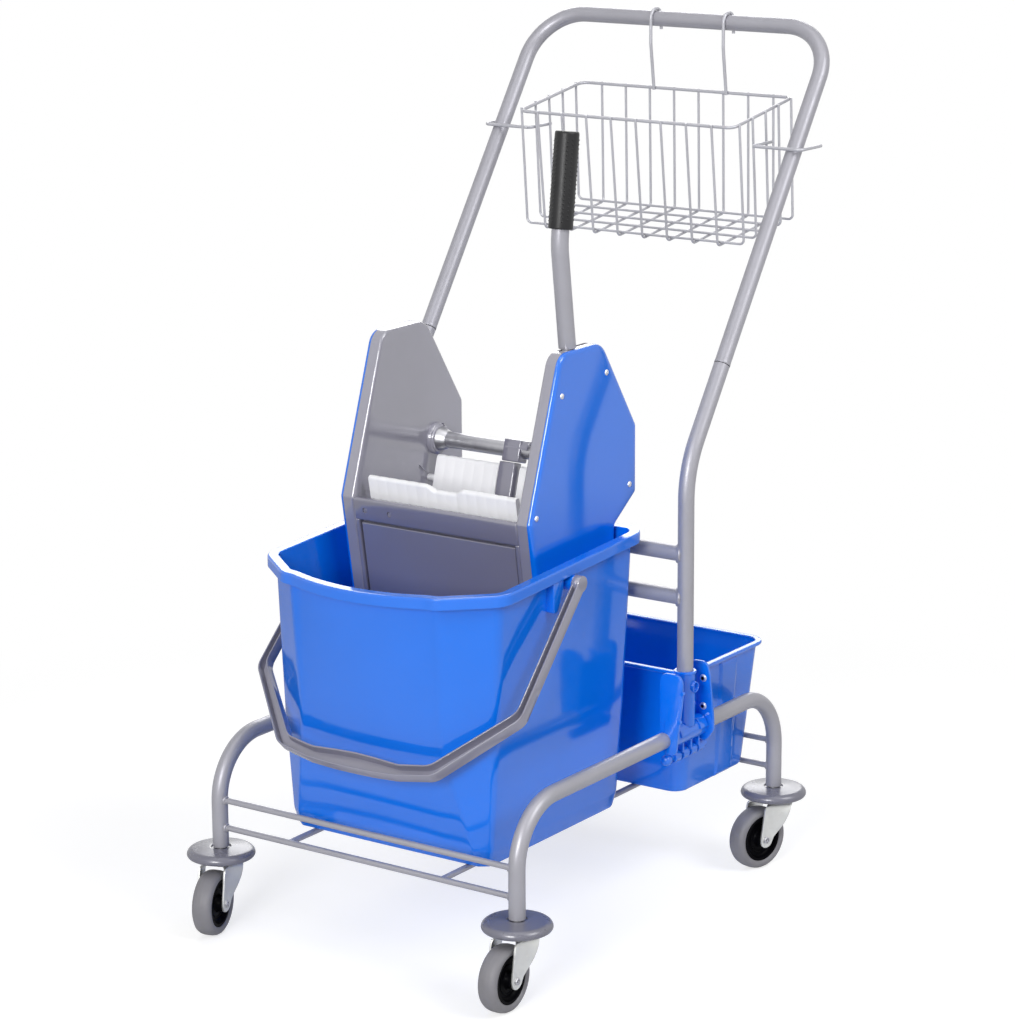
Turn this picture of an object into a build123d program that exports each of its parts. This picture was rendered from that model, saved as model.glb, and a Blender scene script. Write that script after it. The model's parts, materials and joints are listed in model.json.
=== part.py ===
from build123d import *
import os
from math import cos, degrees, atan2, hypot, radians, sin, tan

# A cleaning trolley: a tube frame on four swivel castors carries a bucket with a lever wringer in
# it, a tray behind the bucket, and a wire basket on the push handle. Millimetres, +Z up. The front
# is towards -Y, the push handle towards +Y. The origin is on the floor under the middle of the
# overall length.

# Clearances
FIT = 0.05              # radial room between nested round faces
REST_GAP = 0.2          # between a loose piece and what it rests on
BODY_GAP = 0.3          # between curved faces of pieces that move apart
SLIDE_GAP = 0.5         # round a piece that travels in a slot

# Tube frame
TUBE_OD = 19.0
TUBE_WALL = 1.5
ROD_D = 7.0             # cross rods and rack rods
TRACK = 420.0           # between the leg axes, across
WHEELBASE = 547.0       # between the leg axes, front to back
AXLES_Y = -34.75        # middle of the wheelbase
RAIL_Z = 222.5          # axis of the side rails
RAIL_BEND = 70.0
RACK_Z = 122.3          # axis of the rack rods and of the lower cross rods
ROD_RISE = 33.2         # upper cross rods above the lower ones
RACK_SPREAD = 216.0     # between the two rack rods

# Castors and bumper discs
WHEEL_D = 76.0
TYRE_W = 24.0
HUB_D = 56.0
HUB_RIM = 4.0           # thickness of the hub's rim
HUB_RIM_W = 21.0
HUB_WEB_T = 8.0
HUB_BOSS_R = 10.0
TYRE_ROUND = 6.0
TRAIL = 27.0            # wheel axle behind the swivel axis
SWIVEL_REST = {"front_right": 1.5, "front_left": 16.0, "rear_right": -16.0, "rear_left": 6.0}
FORK_T = 2.5
FORK_GAP = 2.5          # between the tyre and a fork leg
CROWN_T = 3.0
CROWN_GAP = 2.0         # between the tyre and the crown above it
CROWN_TAIL = 15.0       # crown past the swivel axis
EYE_R = 8.5             # rounded foot of a fork leg
AXLE_R = 4.0
AXLE_HEAD_R = 6.0
AXLE_HEAD_T = 3.0
STEM_R = 5.0
STEM_HEAD_R = 8.0
STEM_HEAD_T = 3.0
STEM_PLUG = 30.0        # length of the plug in the leg
RACE_R = 16.0
RACE_T = 3.4
BUMPER_D = 80.0
BUMPER_T = 12.0
BUMPER_DOME = 2.0       # height of the dome above the rounded edge
DOME_MID = 0.6          # share of that height reached halfway in
BUMPER_LAND = 2.0       # flat round the leg on top of the dome

# Handle
UPRIGHT_SETBACK = 68.6  # uprights behind the middle of the wheelbase
BEND_Z = 534.9          # where the uprights turn back
HANDLE_TILT = 34.6      # degrees from upright, above that bend
JOINT_RUN = 132.6       # from the bend to the tube joint
HANDLE_RUN = 573.9      # from the bend to the axis of the top bar
UPRIGHT_BEND = 120.0
HANDLE_BEND = 65.0
CROSSBAR_D = 18.0
CROSSBAR_LOW_Z = 382.8
CROSSBAR_HIGH_Z = 434.6

# Clamps that hold the uprights on the rails
CLAMP_LENGTH = 66.0     # over its two end plates
CLAMP_PLATE_T = 4.0
CLAMP_IN = 11.0         # plate edge inside the rail axis
CLAMP_OUT = 21.0        # plate edge outside the rail axis, below the rail
CLAMP_CREST = 15.0      # plate edge outside the rail axis, at its top
CLAMP_TOP = 78.0        # plate top above the rail axis
CLAMP_FOOT = 33.0       # plate foot below the rail axis
CLAMP_WALL = 2.5        # round the tube in the socket
CLAMP_FLOOR = 3.0       # between rail and upright
SADDLE_WALL = 3.5
COLLAR_H = 4.0
COLLAR_EXTRA = 2.0
WEB_T = 4.0
WEB_IN = 5.0            # web inside the upright axis
PIN_DROP = 25.5         # hinge pin below the rail axis
PIN_R = 4.5
PIN_OVER = 12.0         # pin past each end plate
PIN_BALL_R = 6.5
KNUCKLE_R = 7.0
KNUCKLE_W = 7.0
KNUCKLE_STEP = 20.0
SCREW_R = 2.0
SCREW_HEAD_R = 4.5
SCREW_HEAD_T = 4.0
SCREW_OUT = 7.0         # clamp screws outside the rail axis
CLAMP_SCREW_RISE = (24.0, 58.0)

# Bucket
BUCKET_WALL = 3.0
BUCKET_GAP = 4.6        # between the back flange and the crossbars
BUCKET_H = 319.0        # base to rim, at the front
RIM_SLOPE = 3.2         # degrees, the rim rises to the back
RIM_HALF = 158.0
RIM_LENGTH = 314.0
BASE_HALF = 132.0
BASE_BACK = 11.0        # base forward of the back of the rim
BASE_LENGTH = 262.0
TOE_H = 20.0            # height of the turn from walls to base
TOE_HALF = 141.5
TOE_BACK = 6.0
TOE_LENGTH = 274.0
CREASE_H = 138.0        # height of the crease across the front
CREASE_HALF = 149.5
CREASE_BACK = 4.0
CREASE_LENGTH = 299.0
RIM_BEVEL = (56.0, 43.0)     # corner bevel at the rim, across and back
CREASE_BEVEL = (52.0, 31.0)
TOE_BEVEL = (17.0, 12.0)
BASE_BEVEL = (12.0, 9.0)
SPOUT_HALF = 92.0
SPOUT_DEPTH = 18.0      # bulge of the front at the rim
CREASE_SPOUT_DEPTH = 6.0
BASE_SPOUT_DEPTH = 0.5
BACK_CORNER = 16.0
FLANGE_W = 10.0
FLANGE_T = 3.0
SKIRT_H = 13.0
SKIRT_T = 2.5
LEDGE_H = 208.0         # top of the wringer ledges above the base
LEDGE_T = 10.0
LEDGE_REACH = 22.0      # ledge under the wringer, in from its outer face
LEDGE_LENGTH = 110.0
PIVOT_DROP = 22.0       # bail pivot below the rim
PIVOT_BACK = 170.0      # bail pivot behind the front of the rim
PIVOT_BOSS_R = 9.0
PIVOT_STUD_R = 5.0
STUD_OVER = 1.5         # stud past the bail arm
RIB_FORWARD = 20.0      # rib beside the bail, forward of its pivot
RIB_W = 11.0
RIB_DROP = 36.0

# Bail
BAIL_T = 10.0           # arms, across
BAIL_W = 15.0           # arms, through the flat of the bow
BAIL_GRIP_W = 20.5      # middle of the grip, outwards in the flat of the bow
BAIL_END_W = 12.0       # ends of the grip
BAIL_FLARE = 10.0       # outer corners of the grip past its inner ones
BAIL_HEEL = 6.0         # outer bends past the inner ones
BAIL_GAP = 2.0          # between the flange and the bail arms
BAIL_SPREAD = 6.0       # arms widen by this much down to the bend
BAIL_TURN = 84.0        # inner bends short of the grip
BAIL_GRIP_HALF = 98.0
BAIL_DROP = 45.5        # degrees below level at rest
BAIL_ROUND = 12.0
FINGER_GAP = 10.0       # between the front of the bucket and the grip

# Wringer
WRINGER_HALF = 134.0    # over the covers
COVER_T = 5.0
COVER_ROUND = 2.0
CHEEK_T = 15.0
CHEEK_WALL = 3.0        # inner wall of a cheek
CHEEK_BAND = 20.0       # solid band round the hollow of a cheek
CHEEK_ROUND = 12.0
SHAFT_RISE = 205.5      # shaft above the ledges
SHAFT_FORWARD = 18.0    # shaft forward of the back of the rim
SHAFT_WALL = 2.0
FOOT_FRONT = 135.0      # the cheek outline, from the shaft axis
FOOT_BACK = 5.0
BROW_FRONT = 161.0
BROW_DROP = 35.5
TOP_FRONT = 100.0
TOP_RISE = 144.0
TOP_BACK = 18.0
REAR_OUT = 50.0
REAR_HIGH = 36.5
REAR_LOW = 42.5
WAIST_OUT = 9.0
WAIST_DROP = 72.0
COVER_SCREWS = ((-99.0, 96.5), (-9.0, 108.5), (39.0, -31.5), (-150.0, -33.5))
COVER_SCREW_HEAD_R = 3.5
COVER_SCREW_HEAD_T = 1.5
COVER_SCREW_LENGTH = 9.0
PANEL_T = 8.0
PANEL_BAR = 27.0        # bar above the recess in the front panel
PANEL_BORDER = 17.0
PANEL_RECESS = 4.0
PANEL_SCREW_X = (-99.0, -64.0)
PANEL_SCREW_DROP = 14.0
JAW_T = 8.0
FRONT_JAW_TOP = (-145.0, -9.5)      # from the shaft axis
FRONT_JAW_FOOT = (-112.0, -173.5)
JAW_DIP_HALF = 30.0
JAW_DIP = 7.0
JAW_DIP_RUN = 14.0
FLOOR_T = 5.0
FLOOR_LIFT = 3.0
FLOOR_HOLE_R = 4.0
FLOOR_HOLE_STEP = 18.0
BUSH_FLANGE_R = 19.0
BUSH_FLANGE_T = 4.0
BUSH_R = 13.0

# Lever and pressing jaw
LEVER_SWING = 34.0      # degrees, pulled back
LEVER_PLATE_T = 4.0
LEVER_HUB_R = 16.0
LEVER_TIP_R = 9.0
LEVER_TUBE_D = 20.0
LEVER_TUBE_WALL = 2.0
LEVER_FOOT = (-67.7, 155.0)         # the tube's axis, from the shaft axis
LEVER_KNEE = (-81.5, 264.0)
LEVER_TOP = (-65.7, 385.0)
LEVER_BEND = 90.0
SLOT_MARGIN = 7.0       # degrees in front of the lever's swing
SLOT_BACK_MARGIN = 18.0 # degrees behind it, where the slot leaves close to the shaft
GRIP_D = 28.0
GRIP_LENGTH = 108.0
GRIP_CAP = 3.0
REAR_JAW_HALF = 109.0
REAR_JAW_T = 10.0
REAR_JAW_LENGTH = 128.0
REAR_JAW_TILT = 15.7    # degrees, foot forward
REAR_JAW_TOP = (-11.0, -15.5)       # front edge of its top, from the shaft axis
JAW_NOTCH_HALF = 16.0
JAW_NOTCH = 88.0
PEG_R = 4.0
PEG_DROP = 29.0
PEG_LENGTH = 7.5
ARM_W = 24.0
ARM_T = 14.0
ARM_BLOCK_WALL = 6.0

# Tray
TRAY_FRONT = 43.4       # tray behind the uprights
TRAY_BASE_HALF = 171.0
TRAY_RIM_HALF = 179.0
TRAY_BACK_GAP = 8.0     # between the tray's foot and the rear cross rods
TRAY_LEAN = 26.0        # back wall leans out by this much
TRAY_H = 152.0
TRAY_WALL = 2.5
TRAY_CORNER = 10.0
TRAY_FLANGE_W = 6.0
TRAY_FLANGE_T = 5.0

# Basket
RIM_WIRE_D = 4.0
WIRE_D = 3.0
BASKET_RIM_HALF = 152.0
BASKET_FLOOR_HALF = 156.0
BASKET_TOP_DROP = 85.0      # back of the rim below the top bar
BASKET_RIM_DEPTH = 135.0
BASKET_RIM_FALL = 22.0      # front of the rim below its back
BASKET_FLOOR_DROP = 149.0   # back of the floor below the back of the rim
BASKET_FLOOR_DEPTH = 129.0
BASKET_FLOOR_FALL = 17.0
BASKET_FLOOR_BACK = 7.0     # back of the floor behind the back of the rim
BASKET_CORNER = 10.0
WIRE_BEND = 6.0
LONG_WIRES = 8
CROSS_WIRES = 5
WIRE_INSET = 28.0           # outer long wires in from the sides
CROSS_INSET = 0.06          # outer cross wires in from front and back, share of the depth
HOOK_SPREAD = 104.0
HOOK_SHIFT = 10.0           # hooks to the right of the middle
HOOK_KNEE = 30.0            # where a hook turns upright, below the top bar
HOOK_TAIL = 26.0
HOOK_ROUND = 0.98           # share of the hook's bow that is round
ARM_DROP = 24.0             # side arms below the front of the rim
ARM_LEG = 46.0
ARM_OUT = 5.0               # outer leg outside the upright
ARM_BEND = 7.0

# Derived places
SIDES = {"left": -1, "right": 1}
TUBE_R = TUBE_OD / 2
ROD_R = ROD_D / 2
LEG_X = TRACK / 2
FRONT_Y = AXLES_Y - WHEELBASE / 2
REAR_Y = AXLES_Y + WHEELBASE / 2
WHEEL_R = WHEEL_D / 2
HUB_R = HUB_D / 2
CROWN_Z = WHEEL_D + CROWN_GAP
RACE_Z = CROWN_Z + CROWN_T + REST_GAP
BUMPER_Z = RACE_Z + RACE_T
LEG_FOOT_Z = BUMPER_Z + BUMPER_T + BUMPER_DOME
FORK_IN = TYRE_W / 2 + FORK_GAP
FORK_OUT = FORK_IN + FORK_T
UPRIGHT_Y = AXLES_Y + UPRIGHT_SETBACK
UPRIGHT_FOOT_Z = RAIL_Z + TUBE_R + CLAMP_FLOOR
CROSSBAR_R = CROSSBAR_D / 2
SLOPE = Vector(0, sin(radians(HANDLE_TILT)), cos(radians(HANDLE_TILT)))
BAR = Vector(0, UPRIGHT_Y, BEND_Z) + SLOPE * HANDLE_RUN
BASE_Z = RACK_Z + ROD_R + REST_GAP
RIM_BACK_Y = UPRIGHT_Y - CROSSBAR_R - BUCKET_GAP - FLANGE_W
RIM_FRONT_Y = RIM_BACK_Y - RIM_LENGTH
RIM_Z = BASE_Z + BUCKET_H
LEDGE_Z = BASE_Z + LEDGE_H
PIVOT_Y = RIM_FRONT_Y + PIVOT_BACK
PIVOT_Z = RIM_Z + PIVOT_BACK * tan(radians(RIM_SLOPE)) - PIVOT_DROP
BAIL_X = RIM_HALF + FLANGE_W + BAIL_GAP + BAIL_T / 2
SHAFT_R = TUBE_R
SHAFT_Y = RIM_BACK_Y - SHAFT_FORWARD
SHAFT_Z = LEDGE_Z + REST_GAP + SHAFT_RISE
COVER_IN = WRINGER_HALF - COVER_T
CHEEK_IN = COVER_IN - CHEEK_T
PLATE_IN = CHEEK_IN + CHEEK_WALL + BODY_GAP
PLATE_OUT = PLATE_IN + LEVER_PLATE_T
LEVER_X = (PLATE_IN + PLATE_OUT) / 2
TRAY_Y = UPRIGHT_Y + TRAY_FRONT
TRAY_BASE_LENGTH = REAR_Y - ROD_R - TRAY_BACK_GAP - TRAY_Y
TRAY_RIM_LENGTH = TRAY_BASE_LENGTH + TRAY_LEAN
CORNER_SHARE = sin(radians(45))


def save(piece, name):
    """Label a finished piece and write it under that name."""
    piece.label = name
    export_step(piece, f"parts/{name}.step")


def bent_tube(points, bend, outer_r, inner_r=0):
    """Tube or wire along straight runs joined by tangent arcs."""
    with BuildPart() as tube:
        with BuildLine() as path:
            FilletPolyline(*points, radius=bend)
        with BuildSketch(Plane(origin=path.line @ 0, z_dir=path.line % 0)):
            Circle(outer_r)
            if inner_r:
                Circle(inner_r, mode=Mode.SUBTRACT)
        sweep()
    return tube.part


def cross_bar(y, z, bar_r):
    """Bar across the frame, its ends cut to lie round the two tubes that hold it."""
    with BuildPart() as bar:
        with BuildSketch(Plane.YZ):
            with Locations((y, z)):
                Circle(bar_r)
        extrude(amount=LEG_X, both=True)
        with Locations((LEG_X, y, z), (-LEG_X, y, z)):
            Cylinder(TUBE_R + FIT, 4 * TUBE_OD, mode=Mode.SUBTRACT)
    return bar.part


def turned(points):
    """Solid of revolution about Z from (radius, height) corners."""
    with BuildPart() as body:
        with BuildSketch(Plane.XZ):
            with BuildLine():
                Polyline(*points, close=True)
            make_face()
        revolve(axis=Axis.Z)
    return body.part


def from_shaft(point):
    """Sketch place on the YZ plane of a point given from the shaft axis."""
    return (SHAFT_Y + point[0], SHAFT_Z + point[1])


os.makedirs("parts", exist_ok=True)

# Side frames: leg, rail and leg in one bent tube
for side, sign in SIDES.items():
    leg_x = sign * LEG_X
    corners = [(leg_x, FRONT_Y, LEG_FOOT_Z), (leg_x, FRONT_Y, RAIL_Z)]
    corners += [(leg_x, REAR_Y, RAIL_Z), (leg_x, REAR_Y, LEG_FOOT_Z)]
    save(bent_tube(corners, RAIL_BEND, TUBE_R, TUBE_R - TUBE_WALL), f"side_frame_{side}")

# Cross rods between the legs, and the two rack rods that carry bucket and tray
cross_rods = [cross_bar(y, z, ROD_R) for y in (FRONT_Y, REAR_Y) for z in (RACK_Z, RACK_Z + ROD_RISE)]
save(Compound(children=cross_rods), "cross_rods")

with BuildPart() as rack_rods:
    with BuildSketch(Plane.XZ.offset(-AXLES_Y)):
        with Locations((-RACK_SPREAD / 2, RACK_Z), (RACK_SPREAD / 2, RACK_Z)):
            Circle(ROD_R)
    extrude(amount=WHEELBASE / 2, both=True)
    with Locations((0, FRONT_Y, RACK_Z), (0, REAR_Y, RACK_Z)):
        Cylinder(ROD_R + FIT, TRACK, rotation=(0, 90, 0), mode=Mode.SUBTRACT)
save(rack_rods.part, "rack_rods")

# Bumper disc, with a bullnose edge and a shallow dome
with BuildPart() as bumper:
    with BuildSketch(Plane.XZ):
        edge_r = BUMPER_D / 2 - BUMPER_T / 2
        land_r = TUBE_R + BUMPER_LAND
        mid_z = BUMPER_Z + BUMPER_T / 2
        top_z = BUMPER_Z + BUMPER_T
        with BuildLine():
            Line((STEM_R + FIT, BUMPER_Z), (edge_r, BUMPER_Z))
            ThreePointArc((edge_r, BUMPER_Z), (BUMPER_D / 2, mid_z), (edge_r, top_z))
            dome_mid = ((edge_r + land_r) / 2, top_z + BUMPER_DOME * DOME_MID)
            ThreePointArc((edge_r, top_z), dome_mid, (land_r, LEG_FOOT_Z))
            Polyline((land_r, LEG_FOOT_Z), (STEM_R + FIT, LEG_FOOT_Z), (STEM_R + FIT, BUMPER_Z))
        make_face()
    revolve(axis=Axis.Z)

# Castor stem: head under the crown, race over it, and a plug up in the leg
plug_r = TUBE_R - TUBE_WALL - FIT
stem = turned([
    (0, CROWN_Z - REST_GAP - STEM_HEAD_T),
    (STEM_HEAD_R, CROWN_Z - REST_GAP - STEM_HEAD_T),
    (STEM_HEAD_R, CROWN_Z - REST_GAP),
    (STEM_R, CROWN_Z - REST_GAP),
    (STEM_R, RACE_Z),
    (RACE_R, RACE_Z),
    (RACE_R, BUMPER_Z),
    (STEM_R, BUMPER_Z),
    (STEM_R, LEG_FOOT_Z),
    (plug_r, LEG_FOOT_Z),
    (plug_r, LEG_FOOT_Z + STEM_PLUG),
    (0, LEG_FOOT_Z + STEM_PLUG),
])

# Castor fork: crown plate with two legs that narrow to the axle
with BuildPart() as fork:
    with BuildSketch(Plane.XY.offset(CROWN_Z)):
        front_end = -TRAIL - EYE_R
        with Locations((0, (front_end + CROWN_TAIL) / 2)):
            Rectangle(2 * FORK_OUT, CROWN_TAIL - front_end)
        Circle(FORK_OUT)
        Circle(STEM_R + FIT, mode=Mode.SUBTRACT)
    extrude(amount=CROWN_T)
    for face_x in (FORK_IN, -FORK_OUT):
        with BuildSketch(Plane.YZ.offset(face_x)):
            with Locations((-TRAIL, WHEEL_R)):
                Circle(EYE_R)
            with Locations(((front_end + CROWN_TAIL) / 2, CROWN_Z + CROWN_T / 2)):
                Rectangle(CROWN_TAIL - front_end, CROWN_T)
            make_hull()
            with Locations((-TRAIL, WHEEL_R)):
                Circle(AXLE_R + FIT, mode=Mode.SUBTRACT)
        extrude(amount=FORK_T)

# Axle bolt, with a head outside each fork leg
with BuildPart() as axle:
    with BuildSketch(Plane.YZ):
        with Locations((-TRAIL, WHEEL_R)):
            Circle(AXLE_R)
    extrude(amount=FORK_OUT + AXLE_HEAD_T, both=True)
    for head_x in (FORK_OUT, -FORK_OUT - AXLE_HEAD_T):
        with BuildSketch(Plane.YZ.offset(head_x)):
            with Locations((-TRAIL, WHEEL_R)):
                RegularPolygon(AXLE_HEAD_R, 6)
        extrude(amount=AXLE_HEAD_T)

# Hub: rim, web and a boss that runs on the axle between the fork legs
with BuildPart() as hub:
    for reach, outer_r, inner_r in (
        (HUB_RIM_W / 2, HUB_R, HUB_R - HUB_RIM),
        (HUB_WEB_T / 2, HUB_R - HUB_RIM / 2, AXLE_R + FIT),
        (FORK_IN - BODY_GAP, HUB_BOSS_R, AXLE_R + FIT),
    ):
        with BuildSketch(Plane.YZ):
            with Locations((-TRAIL, WHEEL_R)):
                Circle(outer_r)
                Circle(inner_r, mode=Mode.SUBTRACT)
        extrude(amount=reach, both=True)

# Tyre, with rounded shoulders
with BuildPart() as tyre:
    with BuildSketch(Plane.YZ):
        with Locations((-TRAIL, WHEEL_R)):
            Circle(WHEEL_R)
    extrude(amount=TYRE_W / 2, both=True)
    fillet(tyre.edges().filter_by(GeomType.CIRCLE), TYRE_ROUND)
    with BuildSketch(Plane.YZ):
        with Locations((-TRAIL, WHEEL_R)):
            Circle(HUB_R + FIT)
    extrude(amount=TYRE_W, both=True, mode=Mode.SUBTRACT)

# The four castor places, each turned to its own rest angle
stems = []
for corner, turn in SWIVEL_REST.items():
    corner_x = LEG_X if corner.endswith("right") else -LEG_X
    corner_y = FRONT_Y if corner.startswith("front") else REAR_Y
    heading = (cos(radians(turn)), sin(radians(turn)), 0)
    place = Plane(origin=(corner_x, corner_y, 0), x_dir=heading).location
    save(bumper.part.moved(place), f"bumper_{corner}")
    save(fork.part.moved(place), f"fork_{corner}")
    save(axle.part.moved(place), f"axle_{corner}")
    save(hub.part.moved(place), f"hub_{corner}")
    save(tyre.part.moved(place), f"tyre_{corner}")
    stems.append(stem.moved(place))
save(Compound(children=stems), "castor_stems")

# Uprights, crossbars and the handle loop that carries on from the uprights
joint_points = {}
for side, sign in SIDES.items():
    foot = Vector(sign * LEG_X, UPRIGHT_Y, UPRIGHT_FOOT_Z)
    bend = Vector(sign * LEG_X, UPRIGHT_Y, BEND_Z)
    joint_points[side] = bend + SLOPE * JOINT_RUN
    upright = bent_tube([foot, bend, joint_points[side]], UPRIGHT_BEND, TUBE_R, TUBE_R - TUBE_WALL)
    save(upright, f"upright_{side}")

loop_corners = [Vector(sign * LEG_X, 0, 0) + BAR for sign in (1, -1)]
loop_points = [joint_points["right"], *loop_corners, joint_points["left"]]
save(bent_tube(loop_points, HANDLE_BEND, TUBE_R, TUBE_R - TUBE_WALL), "handle_loop")
save(cross_bar(UPRIGHT_Y, CROSSBAR_LOW_Z, CROSSBAR_R), "crossbar_lower")
save(cross_bar(UPRIGHT_Y, CROSSBAR_HIGH_Z, CROSSBAR_R), "crossbar_upper")

# Right clamp: two end plates, a saddle on the rail, a socket for the upright and hinge knuckles
PIN_Z = RAIL_Z - PIN_DROP
PLATE_FRONT_Y = UPRIGHT_Y - CLAMP_LENGTH / 2
PLATE_BACK_Y = UPRIGHT_Y + CLAMP_LENGTH / 2
SOCKET_R = TUBE_R + FIT + CLAMP_WALL
SADDLE_R = TUBE_R + FIT + SADDLE_WALL
CLAMP_TOP_Z = RAIL_Z + CLAMP_TOP
screw_places = [(LEG_X + SCREW_OUT, RAIL_Z + rise) for rise in CLAMP_SCREW_RISE]
with BuildPart() as clamp:
    for plate_y in (PLATE_FRONT_Y + CLAMP_PLATE_T, PLATE_BACK_Y):
        with BuildSketch(Plane.XZ.offset(-plate_y)) as plate:
            with BuildLine():
                Polyline(
                    (LEG_X - CLAMP_IN, RAIL_Z - TUBE_R),
                    (LEG_X - CLAMP_IN, CLAMP_TOP_Z),
                    (LEG_X + CLAMP_CREST, CLAMP_TOP_Z),
                    (LEG_X + CLAMP_OUT, RAIL_Z - TUBE_R),
                    (LEG_X + KNUCKLE_R, RAIL_Z - CLAMP_FOOT),
                    (LEG_X - KNUCKLE_R, RAIL_Z - CLAMP_FOOT),
                    close=True,
                )
            make_face()
            fillet(plate.vertices(), KNUCKLE_R)
        extrude(amount=CLAMP_PLATE_T)
    with BuildSketch(Plane.XZ.offset(-PLATE_BACK_Y)):
        with Locations((LEG_X, RAIL_Z)):
            Circle(SADDLE_R)
    extrude(amount=CLAMP_LENGTH)
    with BuildSketch(Plane.XY.offset(RAIL_Z)):
        with Locations((LEG_X, UPRIGHT_Y)):
            Circle(SOCKET_R)
    extrude(amount=CLAMP_TOP - COLLAR_H)
    with BuildSketch(Plane.XY.offset(CLAMP_TOP_Z - 2 * COLLAR_H)):
        with Locations((LEG_X, UPRIGHT_Y)):
            Circle(SOCKET_R + COLLAR_EXTRA)
    extrude(amount=COLLAR_H)
    web_h = CLAMP_TOP - 3 * COLLAR_H
    with Locations((LEG_X - WEB_IN, UPRIGHT_Y, RAIL_Z + web_h / 2)):
        Box(WEB_T, CLAMP_LENGTH, web_h)
    for step in (-KNUCKLE_STEP, 0, KNUCKLE_STEP):
        with Locations((LEG_X, UPRIGHT_Y + step, PIN_Z)):
            Cylinder(KNUCKLE_R, KNUCKLE_W, rotation=(90, 0, 0))
        with Locations((LEG_X, UPRIGHT_Y + step, (PIN_Z + RAIL_Z) / 2)):
            Box(WEB_T, KNUCKLE_W, RAIL_Z - PIN_Z)
    with Locations((LEG_X, UPRIGHT_Y, RAIL_Z)):
        Cylinder(TUBE_R + FIT, 2 * CLAMP_LENGTH, rotation=(90, 0, 0), mode=Mode.SUBTRACT)
    with BuildSketch(Plane.XY.offset(UPRIGHT_FOOT_Z)):
        with Locations((LEG_X, UPRIGHT_Y)):
            Circle(TUBE_R + FIT)
    extrude(amount=CLAMP_TOP, mode=Mode.SUBTRACT)
    with Locations((LEG_X, UPRIGHT_Y, PIN_Z)):
        Cylinder(PIN_R + FIT, 2 * CLAMP_LENGTH, rotation=(90, 0, 0), mode=Mode.SUBTRACT)
    with BuildSketch(Plane.XZ.offset(-PLATE_BACK_Y)):
        with Locations(*screw_places):
            Circle(SCREW_R + FIT)
    extrude(amount=CLAMP_PLATE_T, mode=Mode.SUBTRACT)

# Hinge pin under the rail, with a ball on its front end
with BuildPart() as clamp_pin:
    with Locations((LEG_X, UPRIGHT_Y, PIN_Z)):
        Cylinder(PIN_R, CLAMP_LENGTH + 2 * PIN_OVER, rotation=(90, 0, 0))
    with Locations((LEG_X, PLATE_FRONT_Y - PIN_OVER, PIN_Z)):
        Sphere(PIN_BALL_R)

with BuildPart() as clamp_screw_pair:
    with BuildSketch(Plane.XZ.offset(-PLATE_BACK_Y)):
        with Locations(*screw_places):
            Circle(SCREW_R)
    extrude(amount=CLAMP_PLATE_T)
    with BuildSketch(Plane.XZ.offset(CLAMP_PLATE_T - PLATE_BACK_Y)):
        with Locations(*screw_places):
            Circle(SCREW_HEAD_R)
    extrude(amount=SCREW_HEAD_T)

save(clamp.part, "clamp_right")
save(mirror(clamp.part, about=Plane.YZ), "clamp_left")
save(clamp_pin.part, "clamp_pin_right")
save(mirror(clamp_pin.part, about=Plane.YZ), "clamp_pin_left")
clamp_screws = [*clamp_screw_pair.part.solids()]
clamp_screws += [*mirror(clamp_screw_pair.part, about=Plane.YZ).solids()]
save(Compound(children=clamp_screws), "clamp_screws")

# Bucket. Its level sections share one outline: flat front with a spout, bevelled front corners and
# rounded back corners.
RIM_PLANE = Plane(
    origin=(0, RIM_FRONT_Y, RIM_Z),
    x_dir=(1, 0, 0),
    z_dir=(0, -sin(radians(RIM_SLOPE)), cos(radians(RIM_SLOPE))),
)
CREASE_FRONT_Y = RIM_BACK_Y - CREASE_BACK - CREASE_LENGTH
TOE_FRONT_Y = RIM_BACK_Y - TOE_BACK - TOE_LENGTH
BASE_FRONT_Y = RIM_BACK_Y - BASE_BACK - BASE_LENGTH
RIM_SECTION = (RIM_HALF, 0, RIM_LENGTH, RIM_BEVEL, SPOUT_DEPTH)
CREASE_SECTION = (CREASE_HALF, CREASE_FRONT_Y, CREASE_LENGTH, CREASE_BEVEL, CREASE_SPOUT_DEPTH)
TOE_SECTION = (TOE_HALF, TOE_FRONT_Y, TOE_LENGTH, TOE_BEVEL, BASE_SPOUT_DEPTH)
BASE_SECTION = (BASE_HALF, BASE_FRONT_Y, BASE_LENGTH, BASE_BEVEL, BASE_SPOUT_DEPTH)


def bucket_outline(half, front, length, bevel, spout, grow=0.0):
    """Face of the bucket's outline on the sketch plane, moved outwards by grow."""
    back = front + length
    flat = half - bevel[0]
    shoulder = front + bevel[1]
    tangent = half - BACK_CORNER
    mid = half - BACK_CORNER * (1 - CORNER_SHARE)
    side_end = back - BACK_CORNER
    mid_y = back - BACK_CORNER * (1 - CORNER_SHARE)
    with BuildSketch(mode=Mode.PRIVATE) as outline:
        with BuildLine():
            Line((-flat, front), (-SPOUT_HALF, front))
            ThreePointArc((-SPOUT_HALF, front), (0, front - spout), (SPOUT_HALF, front))
            Polyline((SPOUT_HALF, front), (flat, front), (half, shoulder), (half, side_end))
            ThreePointArc((half, side_end), (mid, mid_y), (tangent, back))
            Line((tangent, back), (-tangent, back))
            ThreePointArc((-tangent, back), (-mid, mid_y), (-half, side_end))
            Polyline((-half, side_end), (-half, shoulder), (-flat, front))
        make_face()
        if grow:
            offset(amount=grow, kind=Kind.INTERSECTION, mode=Mode.REPLACE)
    return outline.sketch


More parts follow.
